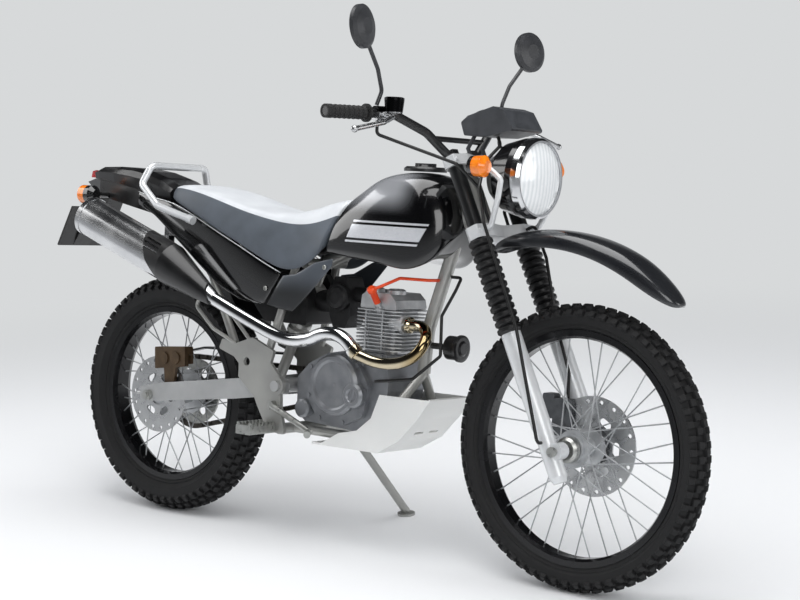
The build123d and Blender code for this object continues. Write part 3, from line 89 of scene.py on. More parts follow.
def add(material, kind, sockets=None, **settings):
    """Adds one shader node, sets it up, and links or fills its sockets."""
    node = material.node_tree.nodes.new("ShaderNode" + kind)
    for name, value in settings.items():
        setattr(node, name, value)
    for name, value in (sockets or {}).items():
        if isinstance(value, bpy.types.NodeSocket):
            material.node_tree.links.new(value, node.inputs[name])
        else:
            node.inputs[name].default_value = value
    return node


def calc(material, operation, *values):
    """The result of one step of arithmetic on numbers or sockets."""
    return add(material, "Math", dict(enumerate(values)), operation=operation).outputs[0]


def start_material(name):
    """An empty node material and its output."""
    material = bpy.data.materials.new(name)
    material.use_nodes = True
    material.node_tree.nodes.clear()
    return material, add(material, "OutputMaterial")


# The studio: a pale sweep of painted board that runs into a pale wall, lit by one big soft box above,
# one beside the camera and two low ones ahead and behind. The room darkens towards its ceiling, and
# what mirrors it sees its dark end, so that black lacquer stays black.
wall_colour = linear("D7D9DA")
bpy.ops.mesh.primitive_plane_add(size=60, location=(0, 0, 0))
floor = bpy.context.object
floor.name = "studio_floor"
floor_paint, floor_output = start_material("matt_studio_floor")
floor_place = add(floor_paint, "TexCoord").outputs["Object"]
floor_mottle = add(floor_paint, "TexNoise", {"Vector": floor_place, "Scale": 0.4, "Detail": 1.0})
floor_tone = add(floor_paint, "ValToRGB", {"Fac": floor_mottle.outputs["Fac"]})
floor_tone.color_ramp.elements[0].color = linear("E6E7E8")
floor_tone.color_ramp.elements[1].color = linear("EBECED")
floor_lit = add(floor_paint, "BsdfPrincipled", {"Base Color": floor_tone.outputs["Color"],
                                                "Roughness": 0.8, "Specular IOR Level": 0.1})
floor_far = add(floor_paint, "Emission", {"Color": wall_colour, "Strength": 1.0})
from_machine = add(floor_paint, "VectorMath", {0: floor_place}, operation="LENGTH")
farness = add(floor_paint, "MapRange", {"Value": from_machine.outputs["Value"],
                                        "From Min": 1.3, "From Max": 4.2}, interpolation_type="SMOOTHSTEP")
floor_ray = add(floor_paint, "LightPath")
floor_seen = calc(floor_paint, "MULTIPLY", floor_ray.outputs["Is Camera Ray"], farness.outputs["Result"])
floor_shade = add(floor_paint, "MixShader", {0: floor_seen, 1: floor_lit.outputs[0], 2: floor_far.outputs[0]})
floor_paint.node_tree.links.new(floor_shade.outputs[0], floor_output.inputs[0])
floor.data.materials.append(floor_paint)

world = bpy.data.worlds.new("studio_room")
bpy.context.scene.world = world
world.use_nodes = True
world.node_tree.nodes.clear()
way = add(world, "SeparateXYZ", {0: add(world, "TexCoord").outputs["Generated"]})
height = add(world, "ValToRGB", {"Fac": way.outputs["Z"]})
height.color_ramp.elements[0].position = 0.16
height.color_ramp.elements[0].color = wall_colour
height.color_ramp.elements[1].position = 0.75
height.color_ramp.elements[1].color = linear("4A4C50")
room_light = add(world, "Background", {"Color": linear("F4F6FA"), "Strength": 0.56})
room_seen = add(world, "Background", {"Color": height.outputs["Color"], "Strength": 1.0})
dark_end = add(world, "ValToRGB", {"Fac": way.outputs["Z"]})
dark_end.color_ramp.elements[0].position = 0.02
dark_end.color_ramp.elements[0].color = linear("A6A8AA")
dark_end.color_ramp.elements[1].position = 0.3
dark_end.color_ramp.elements[1].color = linear("242527")
room_mirrored = add(world, "Background", {"Color": dark_end.outputs["Color"], "Strength": 1.0})
ray = add(world, "LightPath")
seen = calc(world, "MAXIMUM", ray.outputs["Is Camera Ray"], ray.outputs["Is Transmission Ray"])
room = add(world, "MixShader", {0: seen, 1: room_light.outputs[0], 2: room_seen.outputs[0]})
room = add(world, "MixShader", {0: ray.outputs["Is Glossy Ray"], 1: room.outputs[0],
                                2: room_mirrored.outputs[0]})
add(world, "OutputWorld", {"Surface": room.outputs[0]})

for name, place, size, power in (
        ("soft_box_above", (0.2, -0.3, 3.2), 2.6, 75),
        ("soft_box_beside_camera", (3.4, -2.4, 2.4), 2.0, 45),
        ("soft_box_ahead", (3.6, 1.6, 1.4), 1.6, 22),
        ("soft_box_behind", (-3.2, -1.2, 2.2), 2.0, 34)):
    lamp_data = bpy.data.lights.new(name, "AREA")
    lamp_data.shape = "SQUARE"
    lamp_data.size = size
    lamp_data.energy = power
    lamp = bpy.data.objects.new(name, lamp_data)
    lamp.location = place
    lamp.rotation_euler = (Vector((0, 0, 0.6)) - Vector(place)).to_track_quat("-Z", "Y").to_euler()
    bpy.context.scene.collection.objects.link(lamp)


def on_machine(material):
    """The machine's own upright axes, in metres, for patterns to follow."""
    place = add(material, "TexCoord").outputs["Object"]
    return add(material, "Mapping", {"Vector": place, "Location": parked.translation,
                                     "Rotation": parked.to_euler()}, vector_type="TEXTURE").outputs[0]


def finish(name, colours, patch, rough, grain, relief, sockets=None, stretch=(1, 1, 1)):
    """A real finish: two close colours in patches so many mm across, a roughness from and to,
    and a grain of this size and depth in mm, drawn out along an axis where it is brushed. The
    real grain of paint and castings is finer, and is drawn this coarse so that it shows."""
    material, output = start_material(name)
    place = on_machine(material)
    patches = add(material, "TexNoise", {"Vector": place, "Scale": per_mm(patch), "Detail": 4.0})
    tone = add(material, "ValToRGB", {"Fac": patches.outputs["Fac"]})
    for stop, at, colour in zip(tone.color_ramp.elements, (0.3, 0.7), colours):
        stop.position = at
        stop.color = linear(colour)
    dullness = add(material, "MapRange", {"Value": patches.outputs["Fac"], "From Min": 0.3, "From Max": 0.7,
                                          "To Min": rough[0], "To Max": rough[1]})
    drawn = add(material, "Mapping", {"Vector": place, "Scale": stretch})
    fine = add(material, "TexNoise", {"Vector": drawn.outputs[0], "Scale": per_mm(grain), "Detail": 2.0})
    bump = add(material, "Bump", {"Height": fine.outputs["Fac"], "Distance": relief / 1000})
    shade = add(material, "BsdfPrincipled", {"Base Color": tone.outputs["Color"],
                                             "Roughness": dullness.outputs["Result"],
                                             "Normal": bump.outputs["Normal"], **(sockets or {})})
    material.node_tree.links.new(shade.outputs[0], output.inputs[0])
    return material


def principled(material):
    """The surface shader of a finish."""
    return next(node for node in material.node_tree.nodes if node.type == "BSDF_PRINCIPLED")


def tint(material, share, colour):
    """Mixes another colour into a finish, by a share from 0 to 1."""
    base = principled(material).inputs["Base Color"]
    mix = add(material, "Mix", {0: share, 6: base.links[0].from_socket, 7: colour}, data_type="RGBA")
    material.node_tree.links.new(mix.outputs[2], base)


def fade(material, axis, start, end, colour):
    """Turns a finish to another colour as the machine's X, Y or Z goes from start to end, in mm."""
    along = add(material, "SeparateXYZ", {0: on_machine(material)}).outputs[axis]
    share = add(material, "MapRange", {"Value": along, "From Min": start / 1000, "From Max": end / 1000},
                interpolation_type="SMOOTHSTEP").outputs["Result"]
    tint(material, share, linear(colour))


def dress(material, *names):
    """Gives a finish to nodes of the frame, all over."""
    for name in names:
        slots = nodes[name].data.materials
        slots.clear()
        slots.append(material)


# Wheels: chunky tyres on black anodised aluminium rims, laced to bare cast hubs with steel spokes.
# The rubber is dull and swallows the light, the rims keep a thin dark sheen and the hubs glint softly.
tyre_rubber = finish("tyre_rubber", ("101011", "19191A"), 60, (0.6, 0.78), 1.2, 0.25,
                     {"Specular IOR Level": 0.4})
black_anodised = finish("black_anodised_rim", ("0B0B0D", "131316"), 80, (0.2, 0.3), 0.9, 0.02,
                        {"Metallic": 0.6, "Coat Weight": 0.4, "Coat Roughness": 0.12})
hub_casting = finish("bare_cast_hub", ("AEB0B2", "C4C6C8"), 25, (0.3, 0.42), 1.0, 0.08, {"Metallic": 0.7})
dress(black_anodised, "front_rim", "rear_rim")
dress(hub_casting, "front_hub", "rear_hub")


def park(piece, body, *hidden):
    """Leans a finished piece over with the machine, hangs it on its body and hides what it stands for."""
    piece.data.transform(parked)
    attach(piece, body)
    if hidden:
        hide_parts(*hidden)


def turned(name, profile, centre, axis, steps):
    """A closed shape turned on a lathe: the profile's points are (distance from the axis, along it)."""
    axis = Vector(axis).normalized()
    out = axis.orthogonal().normalized()
    bpy.ops.mesh.primitive_circle_add(vertices=len(profile), fill_type="NOTHING")
    piece = bpy.context.object
    piece.name = name
    for vertex, (distance, along) in zip(piece.data.vertices, profile):
        vertex.co = Vector(centre) + out * distance + axis * along
    bpy.ops.object.mode_set(mode="EDIT")
    bpy.ops.mesh.select_all(action="SELECT")
    bpy.ops.mesh.spin(steps=steps, angle=2 * math.pi, center=centre, axis=axis)
    bpy.ops.mesh.select_all(action="SELECT")
    bpy.ops.mesh.remove_doubles(threshold=1e-6)
    bpy.ops.mesh.normals_make_consistent(inside=False)
    bpy.ops.object.mode_set(mode="OBJECT")
    bpy.ops.object.shade_smooth_by_angle(angle=math.radians(35))
    return piece


# One tread block, a cube with a drawn-in top and worn edges, is made once for each row and copied
# round the carcass. Rows: how far round the crown from the middle in degrees of the section,
# block length round the tyre and width in mm, and 1 where the row is shifted by half a pitch.
block_height, buried, block_top_share, block_wear = 0.0085, 0.002, 0.84, 0.0012
pitches, crown_power = 64, 2.2
bead_inset, flange_rise = 0.0033, 0.0133        # inside the rim's edge, and from its seat to its flange


def tread_block(length, width, height):
    """One block, standing on the XY plane with its length along X."""
    bpy.ops.mesh.primitive_cube_add(size=1, location=(0, 0, 0))
    block = bpy.context.object
    for vertex in block.data.vertices:
        draw_in = block_top_share if vertex.co.z > 0 else 1.0
        vertex.co = (vertex.co.x * length * draw_in, vertex.co.y * width * draw_in,
                     vertex.co.z * height)
    wear = block.modifiers.new("worn_edges", "BEVEL")
    wear.width, wear.segments = block_wear, 1
    bpy.ops.object.modifier_apply(modifier=wear.name)
    return block


for wheel, centre, outer, half, seat_radius, rim_half, body, rows in (
        ("front", front_wheel_centre, 0.341, 0.041, 0.267, 0.026, "front_wheel",
         ((0, 21, 15, 0), (29, 20, 15, 1), (-29, 20, 15, 1), (62, 17, 17, 0), (-62, 17, 17, 0))),
        ("rear", rear_wheel_centre, 0.326, 0.060, 0.229, 0.034, "rear_wheel",
         ((10, 21, 17, 0), (-10, 21, 17, 1), (34, 20, 18, 1), (-34, 20, 18, 0),
          (62, 17, 20, 0), (-62, 17, 20, 1)))):
    crown_half = half - block_height * 0.8      # half the width of the carcass inside the blocks
    crown_sag = 0.48 * half                     # the shoulder lies this far inside the crown
    carcass = outer - block_height
    bead = rim_half - bead_inset
    flange = seat_radius + flange_rise
    shoulder = carcass - crown_sag
    wall = [(seat_radius + 0.0003, bead), (flange, bead), (flange + 0.0012, rim_half - 0.001),
            (flange + 0.006, rim_half + 0.0045), (flange + 0.009, rim_half + 0.0045),
            (flange + 0.011, rim_half + 0.0035), ((flange + shoulder) / 2, crown_half * 0.985),
            (shoulder, crown_half)]
    crown = [(carcass - crown_sag * math.sin(math.radians(angle)) ** crown_power,
              crown_half * math.sin(math.radians(angle))) for angle in (75, 60, 45, 30, 15)]
    profile = wall + crown + [(carcass, 0)] + [(r, -y) for r, y in reversed(crown)] \
        + [(r, -y) for r, y in reversed(wall)]
    tyre = turned(wheel + "_tyre_tread", profile, centre, (0, 1, 0), 96)

    tread = bmesh.new()
    tread.from_mesh(tyre.data)
    for around, length, width, shifted in rows:
        block = tread_block(length / 1000, width / 1000, block_height + buried)
        lie = math.radians(abs(around))
        side = 1 if around >= 0 else -1
        across = side * crown_half * math.sin(lie)
        depth = crown_sag * math.sin(lie) ** crown_power
        tilt = side * math.atan2(crown_sag * crown_power * math.sin(lie) ** (crown_power - 1), crown_half)
        for k in range(pitches):
            turn = 2 * math.pi * (k + 0.5 * shifted) / pitches
            place = (Matrix.Translation(centre) @ Matrix.Rotation(turn, 4, "Y")
                     @ Matrix.Translation((0, across, carcass - depth))
                     @ Matrix.Rotation(-tilt, 4, "X")
                     @ Matrix.Translation((0, 0, (block_height - buried) / 2)))
            copy = block.data.copy()
            copy.transform(place)
            tread.from_mesh(copy)
            bpy.data.meshes.remove(copy)
        bpy.data.objects.remove(block)
    tread.to_mesh(tyre.data)
    tread.free()
    tyre.data.materials.append(tyre_rubber)
    park(tyre, body, wheel + "_tyre")

# Brakes and drive: ground stainless discs bolted to the hubs, a bronze painted rear caliper and a grey
# front one, zinc plated steel axles, sprocket, pegs and pedals, and an oiled chain. The discs are bright
# with blurred reflections, the zinc is a duller grey, and the chain is dark and brownish.
disc_steel = finish("ground_stainless_disc", ("BFC0C1", "CBCCCD"), 30, (0.24, 0.32), 0.6, 0.02,
                    {"Metallic": 1.0})
caliper_bronze = finish("bronze_caliper_paint", ("4A3A29", "5A4833"), 20, (0.35, 0.5), 0.8, 0.05,
                        {"Metallic": 0.55, "Coat Weight": 0.2})
caliper_grey = finish("grey_caliper_paint", ("56585B", "66686B"), 20, (0.35, 0.5), 0.8, 0.05,
                      {"Metallic": 0.6})
zinc_steel = finish("zinc_plated_steel", ("A9AAA7", "BDBEBA"), 12, (0.25, 0.4), 0.7, 0.03, {"Metallic": 1.0})
chain_steel = finish("oiled_chain_steel", ("3E3B37", "5A5650"), 9, (0.3, 0.5), 0.8, 0.05, {"Metallic": 0.9})
dress(disc_steel, "front_disc", "rear_disc")
dress(caliper_bronze, "rear_caliper")
dress(caliper_grey, "front_caliper")
dress(zinc_steel, "front_axle", "rear_axle", "rear_sprocket", "footpegs", "foot_levers")
dress(chain_steel, "chain")

# Fork: silver painted legs, crowns and lamp stays, ribbed black rubber boots, and black tubes above
# the lower crown, all clamped in the two crowns. The paint is a pale satin silver under a clear coat,
# and the boots catch a soft light on each rib.
silver_paint = finish("silver_fork_paint", ("CDCFD1", "D9DBDC"), 70, (0.3, 0.4), 0.6, 0.02,
                      {"Metallic": 0.3, "Coat Weight": 0.4, "Coat Roughness": 0.15})
leg_paint = finish("silver_leg_paint", ("D2D4D6", "DEE0E1"), 70, (0.3, 0.4), 0.6, 0.02,
                   {"Metallic": 0.25, "Coat Weight": 0.4, "Coat Roughness": 0.15})
fade(leg_paint, "Z", 790, 800, "141516")
boot_rubber = finish("fork_boot_rubber", ("0C0C0D", "141415"), 40, (0.34, 0.46), 1.0, 0.06)
dress(silver_paint, "fork_crowns", "lamp_stays")
dress(leg_paint, "fork_legs")
dress(boot_rubber, "fork_boots")

# Front fender: one deep moulding in dark grey metallic lacquer, arched across and along, and bolted
# between the fork's legs. Its clear coat gives sharp highlights over the dark grey.
grey_lacquer = finish("dark_grey_metallic_lacquer", ("222327", "2D2F32"), 120, (0.26, 0.34), 0.5, 0.02,
                      {"Metallic": 0.4, "Coat Weight": 1.0, "Coat Roughness": 0.06})


def drawn_out(name, rings):
    """A skin drawn out from ring to ring of points, in millimetres, and closed at both ends."""
    bpy.ops.mesh.primitive_circle_add(vertices=len(rings[0]), fill_type="NGON")
    piece = bpy.context.object
    piece.name = name
    for vertex, point in zip(piece.data.vertices, rings[0]):
        vertex.co = Vector(point) / 1000
    bpy.ops.object.mode_set(mode="EDIT")
    bpy.ops.mesh.select_all(action="SELECT")
    for ring in rings[1:]:
        bpy.ops.mesh.extrude_region_move()
        mesh = bmesh.from_edit_mesh(piece.data)
        face = next(face for face in mesh.faces if face.select)
        for vertex, point in zip(face.verts, ring):
            vertex.co = Vector(point) / 1000
        bmesh.update_edit_mesh(piece.data)
    bpy.ops.mesh.select_all(action="SELECT")
    bpy.ops.mesh.normals_make_consistent(inside=False)
    bpy.ops.object.mode_set(mode="OBJECT")
    return piece


def creased(piece, sharpness, sharp):
    """Creases each edge whose two ends, in mm, satisfy the test."""
    layer = piece.data.attributes.new("crease_edge", "FLOAT", "EDGE")
    for edge in piece.data.edges:
        ends = [piece.data.vertices[k].co * 1000 for k in edge.vertices]
        layer.data[edge.index].value = sharpness if sharp(*ends) else 0.0


def smoothed(piece, levels):
    """Rounds a drawn-out skin with subdivision."""
    rounding = piece.modifiers.new("rounding", "SUBSURF")
    rounding.levels = rounding.render_levels = levels
    bpy.ops.object.select_all(action="DESELECT")
    bpy.context.view_layer.objects.active = piece
    piece.select_set(True)
    bpy.ops.object.modifier_apply(modifier=rounding.name)
    bpy.ops.object.shade_smooth()


# Sections about the axle: angle from straight ahead, radius of the crest, half width, drop of the edge.
fender_sections = [(121.5, 525.4, 34, 13), (116.8, 539.4, 48, 24), (108.5, 532.4, 60, 44),
                   (100.5, 520.6, 64, 46), (91.9, 506.3, 64, 46), (82.8, 491.9, 63, 46),
                   (73.1, 476.6, 60, 46), (64.9, 459.2, 53, 40), (58.1, 446.2, 40, 26), (54.5, 437.0, 22, 10)]
fender_wall = 3.5
fender_rings = []
for angle, radius, half, drop in fender_sections:
    arch = [(half, radius - drop), (half * 0.98, radius - drop * 0.45), (half * 0.78, radius - drop * 0.08),
            (half * 0.3, radius)]
    under = [(y - fender_wall, r - fender_wall * share) for (y, r), share in zip(arch, (0, 0.4, 1, 1))]
    section = arch + [(-y, r) for y, r in reversed(arch)] + [(-y, r) for y, r in under] + under[::-1]
    out = Vector((math.cos(math.radians(angle)), 0, math.sin(math.radians(angle))))
    fender_rings.append([front_wheel_centre * 1000 + out * r + Vector((0, y, 0)) for y, r in section])
fender = drawn_out("front_fender_skin", fender_rings)
smoothed(fender, 2)
fender.data.materials.append(grey_lacquer)
park(fender, "fork", "front_fender")

# Lights: a black moulded shell with a chromed ring round fluted glass, and lamps with an amber or red
# plastic lens, the amber ones in black shells. All of them are glossy, with small sharp highlights.
lamp_black = finish("gloss_black_lamp_shell", ("0B0B0C", "111113"), 60, (0.14, 0.22), 0.8, 0.02,
                    {"Coat Weight": 0.6})
ring_chrome = finish("headlamp_ring_chrome", ("C9CACC", "D8D9DA"), 40, (0.08, 0.14), 0.8, 0.01,
                     {"Metallic": 1.0})
amber_lens = finish("front_amber_lens", ("E06A08", "F58A1C"), 14, (0.12, 0.2), 3, 0.2, {"Coat Weight": 1.0})
rear_amber_lens = finish("rear_amber_lens", ("E06A08", "F58A1C"), 14, (0.12, 0.2), 3, 0.2,
                         {"Coat Weight": 1.0})
red_lens = finish("red_lens", ("8E0F12", "A8161A"), 18, (0.12, 0.2), 3, 0.2, {"Coat Weight": 1.0})
fade(amber_lens, "X", 438, 436, "0C0C0D")
fade(rear_amber_lens, "X", -931, -929, "0C0C0D")
dress(lamp_black, "headlight_shell")
dress(ring_chrome, "headlight_ring")
dress(amber_lens, "front_indicators")
dress(rear_amber_lens, "rear_indicators")
dress(red_lens, "tail_lamp")

# The headlamp's glass is pressed in upright flutes. Its pale colour is a painted reflection of the reflector
# behind it, and its lighter and darker bands along the flutes are painted light. Blender's wave pattern turns
# through 20 radians in each unit of its scale.
flute_width, flute_depth = 13.8, 0.3
wave_per_unit = 20 / (2 * math.pi)
lamp_glass = finish("fluted_headlamp_glass", ("DDE0E3", "F0F2F3"), 45, (0.05, 0.1), 5, 0.1,
                    {"Coat Weight": 1.0, "Coat Roughness": 0.03})
flutes = add(lamp_glass, "TexWave", {"Vector": on_machine(lamp_glass),
                                     "Scale": per_mm(flute_width) / wave_per_unit,
                                     "Distortion": 0.6, "Detail": 1.0}, bands_direction="Y")
glass_shade = principled(lamp_glass)
glass_bump = add(lamp_glass, "Bump", {"Height": flutes.outputs["Fac"], "Distance": flute_depth / 1000})
# Painted light: the glass is paler and darker in bands along the flutes.
painted_flute_light = add(lamp_glass, "Mix", {0: flutes.outputs["Fac"], 6: linear("DCE0E2"), 7: linear("F4F6F7")},
                 data_type="RGBA")
lamp_glass.node_tree.links.new(glass_bump.outputs[0], glass_shade.inputs["Normal"])
lamp_glass.node_tree.links.new(painted_flute_light.outputs[2], glass_shade.inputs["Base Color"])
dress(lamp_glass, "headlight_lens")

# Handlebar: a satin black steel tube with rubber grips, bare alloy levers on black perches, dark
# moulded mirrors and instruments, and cables in black sheaths. The levers are the one bright metal
# here, and the rubber and the mouldings are dull.
bar_black = finish("satin_black_bar_paint", ("101011", "18181A"), 40, (0.3, 0.42), 0.6, 0.03,
                   {"Coat Weight": 0.3})
grip_rubber = finish("grip_rubber", ("141414", "1C1C1C"), 25, (0.55, 0.7), 0.8, 0.08)
lever_alloy = finish("polished_lever_alloy", ("B4B5B6", "CBCCCD"), 15, (0.2, 0.32), 1.2, 0.006,
                     {"Metallic": 1.0})
mirror_plastic = finish("mirror_shell_plastic", ("2A2B2D", "333437"), 30, (0.3, 0.4), 0.7, 0.05)
instrument_plastic = finish("dark_grey_instrument_plastic", ("333538", "3E4044"), 30, (0.35, 0.45), 0.7, 0.06)
cable_sheath = finish("black_cable_sheath", ("0D0D0E", "161616"), 15, (0.32, 0.46), 0.8, 0.03)
fade(lever_alloy, "Z", 1106, 1109, "121213")
dress(bar_black, "handlebar")
dress(grip_rubber, "grips")
dress(lever_alloy, "hand_levers")
dress(mirror_plastic, "mirrors")
dress(instrument_plastic, "instruments")
dress(cable_sheath, "control_cables", "brake_hose", "engine_cable")

# The mirrors' glass lies in each shell's rim and faces the rider. It is silvered, and its reflection
# is sharp and a little cold.
mirror_glass = finish("silvered_mirror_glass", ("DFE3E6", "E9ECEE"), 60, (0.02, 0.04), 5, 0.005,
                      {"Metallic": 1.0})
caster = math.radians(26)
lower_crown, crown_above_axle = Vector((0.37304, 0, 0.81355)), 0.556
steering_ahead = Vector((math.cos(caster), 0, math.sin(caster)))
steering_up = Vector((-math.sin(caster), 0, math.cos(caster)))
steering_foot = lower_crown - steering_up * crown_above_axle
glass_radius = 0.0468
for side, hand in ((-1, "right"), (1, "left")):
    face = steering_foot + steering_ahead * 0.0775 + Vector((0, side * 0.343, 0)) + steering_up * 1.0594
    glass = turned(hand + "_mirror_glass", [(0, 0.0004), (glass_radius, 0.0010), (glass_radius, 0.0019),
                                            (0, 0.0019)], face, (18, -side * 3, 2), 64)
    glass.data.materials.append(mirror_glass)
    park(glass, "fork")

# The two dials: a black face with white ticks and an orange hand, lying in each rim. The dials slope
# a little down towards the rider.
dial_slope = math.atan2(10.9, 77.1)
dial_radius, dial_back, dial_front = 0.0262, 0.0042, 0.0052
tick_count, tick_share, tick_radius, half_tick = 24, 0.16, 0.0215, 0.0026
hand_bearing, half_hand, hand_length = -2.3, 0.06, 0.0195
up_from_dial = steering_ahead * math.sin(dial_slope) + steering_up * math.cos(dial_slope)
ahead_on_dial = steering_ahead * math.cos(dial_slope) - steering_up * math.sin(dial_slope)
dial_axes = Matrix((ahead_on_dial, Vector((0, 1, 0)), up_from_dial)).transposed()
for side, hand in ((-1, "right"), (1, "left")):
    middle = steering_foot + steering_ahead * 0.130 + Vector((0, side * 0.031, 0)) + steering_up * 0.833
    dial = turned(hand + "_dial_face", [(0, dial_back), (dial_radius, dial_back), (dial_radius, dial_front),
                                        (0, dial_front)], middle, up_from_dial, 64)
    dial_paint = finish(hand + "_dial_print", ("0C0C0D", "121213"), 20, (0.2, 0.3), 0.6, 0.01,
                        {"Coat Weight": 1.0})
    on_dial = add(dial_paint, "Mapping", {"Vector": on_machine(dial_paint), "Location": middle,
                                          "Rotation": dial_axes.to_euler()}, vector_type="TEXTURE").outputs[0]
    flat = add(dial_paint, "SeparateXYZ", {0: on_dial})
    bearing = calc(dial_paint, "ARCTAN2", flat.outputs["Y"], flat.outputs["X"])
    distance = add(dial_paint, "VectorMath", {0: on_dial}, operation="LENGTH").outputs["Value"]
    turn = calc(dial_paint, "FRACT", calc(dial_paint, "MULTIPLY", bearing, tick_count / (2 * math.pi)))
    ticks = calc(dial_paint, "MULTIPLY", calc(dial_paint, "LESS_THAN", turn, tick_share),
                 calc(dial_paint, "COMPARE", distance, tick_radius, half_tick))
    pointer = calc(dial_paint, "MULTIPLY", calc(dial_paint, "COMPARE", bearing, hand_bearing, half_hand),
                   calc(dial_paint, "LESS_THAN", distance, hand_length))
    tint(dial_paint, ticks, linear("E8E9EA"))
    tint(dial_paint, pointer, linear("E8551C"))
    dial.data.materials.append(dial_paint)
    park(dial, "fork")

# Frame: a welded steel frame, side stand and shock in silver-grey paint, a satin alloy swinging arm
# brushed along its length, and a grab rail in silver enamel. The paint is satin with a clear coat, the
# arm is a little duller, and the rail is the palest and glossiest.
frame_paint = finish("silver_grey_frame_paint", ("9C9C99", "A9A9A5"), 90, (0.3, 0.38), 0.6, 0.02,
                     {"Metallic": 0.5, "Coat Weight": 0.4, "Coat Roughness": 0.12})
arm_alloy = finish("satin_arm_alloy", ("AEAFAF", "BCBDBD"), 60, (0.3, 0.4), 0.7, 0.03,
                   {"Metallic": 0.6}, stretch=(0.15, 1, 1))
rail_enamel = finish("silver_rail_enamel", ("CFD1D3", "DCDEDF"), 70, (0.2, 0.28), 0.6, 0.02,
                     {"Metallic": 0.35, "Coat Weight": 0.7, "Coat Roughness": 0.08})
dress(frame_paint, "main_frame", "side_stand", "rear_shock")
dress(arm_alloy, "swingarm")
dress(rail_enamel, "grab_rail")

# Engine: silver painted castings below a finned alloy cylinder, with a dark carburettor, an orange
# rubber cap and lead on the plug, and an alloy skid plate bolted under it. The castings are a satin mid
# grey with a fine grain, the fins are paler, and the skid plate is nearly white.
case_alloy = finish("silver_engine_paint", ("7C7E82", "8F9194"), 40, (0.32, 0.42), 0.9, 0.06,
                    {"Metallic": 0.7})
fin_alloy = finish("bare_cast_fins", ("B4B6B8", "CACBCC"), 20, (0.3, 0.42), 0.8, 0.08, {"Metallic": 0.7})
carburettor_metal = finish("carburettor_casting", ("1A1A1B", "2A2A2B"), 20, (0.4, 0.55), 0.7, 0.05,
                           {"Metallic": 0.3})
skid_alloy = finish("satin_skid_alloy", ("EAEBE9", "F0F0EE"), 120, (0.34, 0.42), 0.6, 0.03,
                    {"Metallic": 0.35}, stretch=(0.1, 1, 1))
orange_rubber = finish("orange_silicone_rubber", ("D63A10", "E8501C"), 20, (0.3, 0.42), 1.0, 0.05)
dress(case_alloy, "crankcase")
dress(fin_alloy, "cylinder")
dress(carburettor_metal, "carburettor")
dress(skid_alloy, "skid_plate")
dress(bar_black, "horn")
dress(orange_rubber, "plug_lead")

# Exhaust: a stainless silencer polished along its length, a chromed pipe whose header has gone gold
# in the heat, and a satin black heat shield. The silencer shows long soft streaks of light, and the
# chrome sharp reflections.
stainless = finish("polished_stainless", ("C4C5C7", "D6D7D8"), 90, (0.16, 0.24), 1.2, 0.004,
                   {"Metallic": 1.0}, stretch=(0.08, 1, 1))
chrome = finish("chrome_plate", ("D8D9DB", "E4E5E6"), 60, (0.06, 0.1), 0.8, 0.01, {"Metallic": 1.0})
shield_black = finish("satin_black_heat_shield", ("0E0E0F", "171718"), 50, (0.28, 0.38), 0.8, 0.04,
                      {"Coat Weight": 0.3})
fade(chrome, "X", 72, 84, "C8BCA2")
fade(chrome, "X", 205, 262, "A08D68")
dress(stainless, "silencer")
dress(shield_black, "heat_shield", "chain_guard")


header_radius, pipe_radius, clamp_radius = 14.3, 17.5, 0.0205
corner_cuts, tube_sides = 4, 32


def bent_tube(name, corners, radius):
    """A round tube, in mm, whose bends are eased by cutting its path's corners again and again."""
    path = [Vector(corner) for corner in corners]
    for _ in range(corner_cuts):
        cuts = [a.lerp(b, share) for a, b in zip(path, path[1:]) for share in (0.25, 0.75)]
        path = [path[0], *cuts, path[-1]]
    rings = []
    out = (path[1] - path[0]).orthogonal()
    for k, place in enumerate(path):
        way = (path[min(k + 1, len(path) - 1)] - path[max(k - 1, 0)]).normalized()
        out = (out - way * out.dot(way)).normalized()
        side = way.cross(out)
        rings.append([place + (out * math.cos(turn) + side * math.sin(turn)) * radius
                      for turn in (2 * math.pi * step / tube_sides for step in range(tube_sides))])
    tube = drawn_out(name, rings)
    bpy.ops.object.shade_smooth_by_angle(angle=math.radians(40))
    return tube


# The pipe: a slim header out of the port and round below the cylinder, a stepped clamp, and a wider
# pipe that rises in two easy bends past the engine to the silencer.
port = Vector((172.3, -48, 590))
header = bent_tube("exhaust_header", [port, port + Vector((59.5, 0, 0)), (270, -92, 556), (240, -118, 506),
                                      (160, -130, 492), (86, -136, 512)], header_radius)
tail = bent_tube("exhaust_pipe_tube", [(84, -136, 514), (40, -140, 556), (-24, -140, 556), (-78, -138, 530),
                                       (-160, -138, 526), (-290, -142, 570), (-400, -148, 612)],
                 pipe_radius)
clamp = turned("exhaust_clamp", [(0, -0.008), (0.0185, -0.008), (clamp_radius, 0.002), (clamp_radius, 0.014),
                                 (0.019, 0.016), (0, 0.016)], (0.084, -0.136, 0.514), (-44, -4, 42), 48)
flange = turned("exhaust_port_flange", [(0, 0.0055), (0.0195, 0.0055), (clamp_radius, 0.0065),
                                        (clamp_radius, 0.0125), (0.016, 0.0165), (0, 0.0165)],
                port / 1000, (1, 0, 0), 48)
for piece in (header, tail, clamp, flange):
    piece.data.materials.append(chrome)
    park(piece, "chassis")
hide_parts("exhaust_pipe")

# Tank: a pressed steel shell in lacquer that fades from metallic grey on top to black below, with a
# silver band and two fine lines laid on each flank, and painted shade that turns it black towards the
# front. The clear coat over it all is almost a mirror.
tank_lacquer = finish("grey_to_black_lacquer", ("08080A", "0B0B0D"), 120, (0.16, 0.22), 0.5, 0.01,
                      {"Metallic": 0.35, "Coat Weight": 1.0, "Coat Roughness": 0.04})
fade(tank_lacquer, "Z", 858, 918, "A2A4A8")
# Painted shade: the lacquer turns black towards the tank's front, where it faces away from the lamps.
fade(tank_lacquer, "X", 150, 225, "0A0A0C")
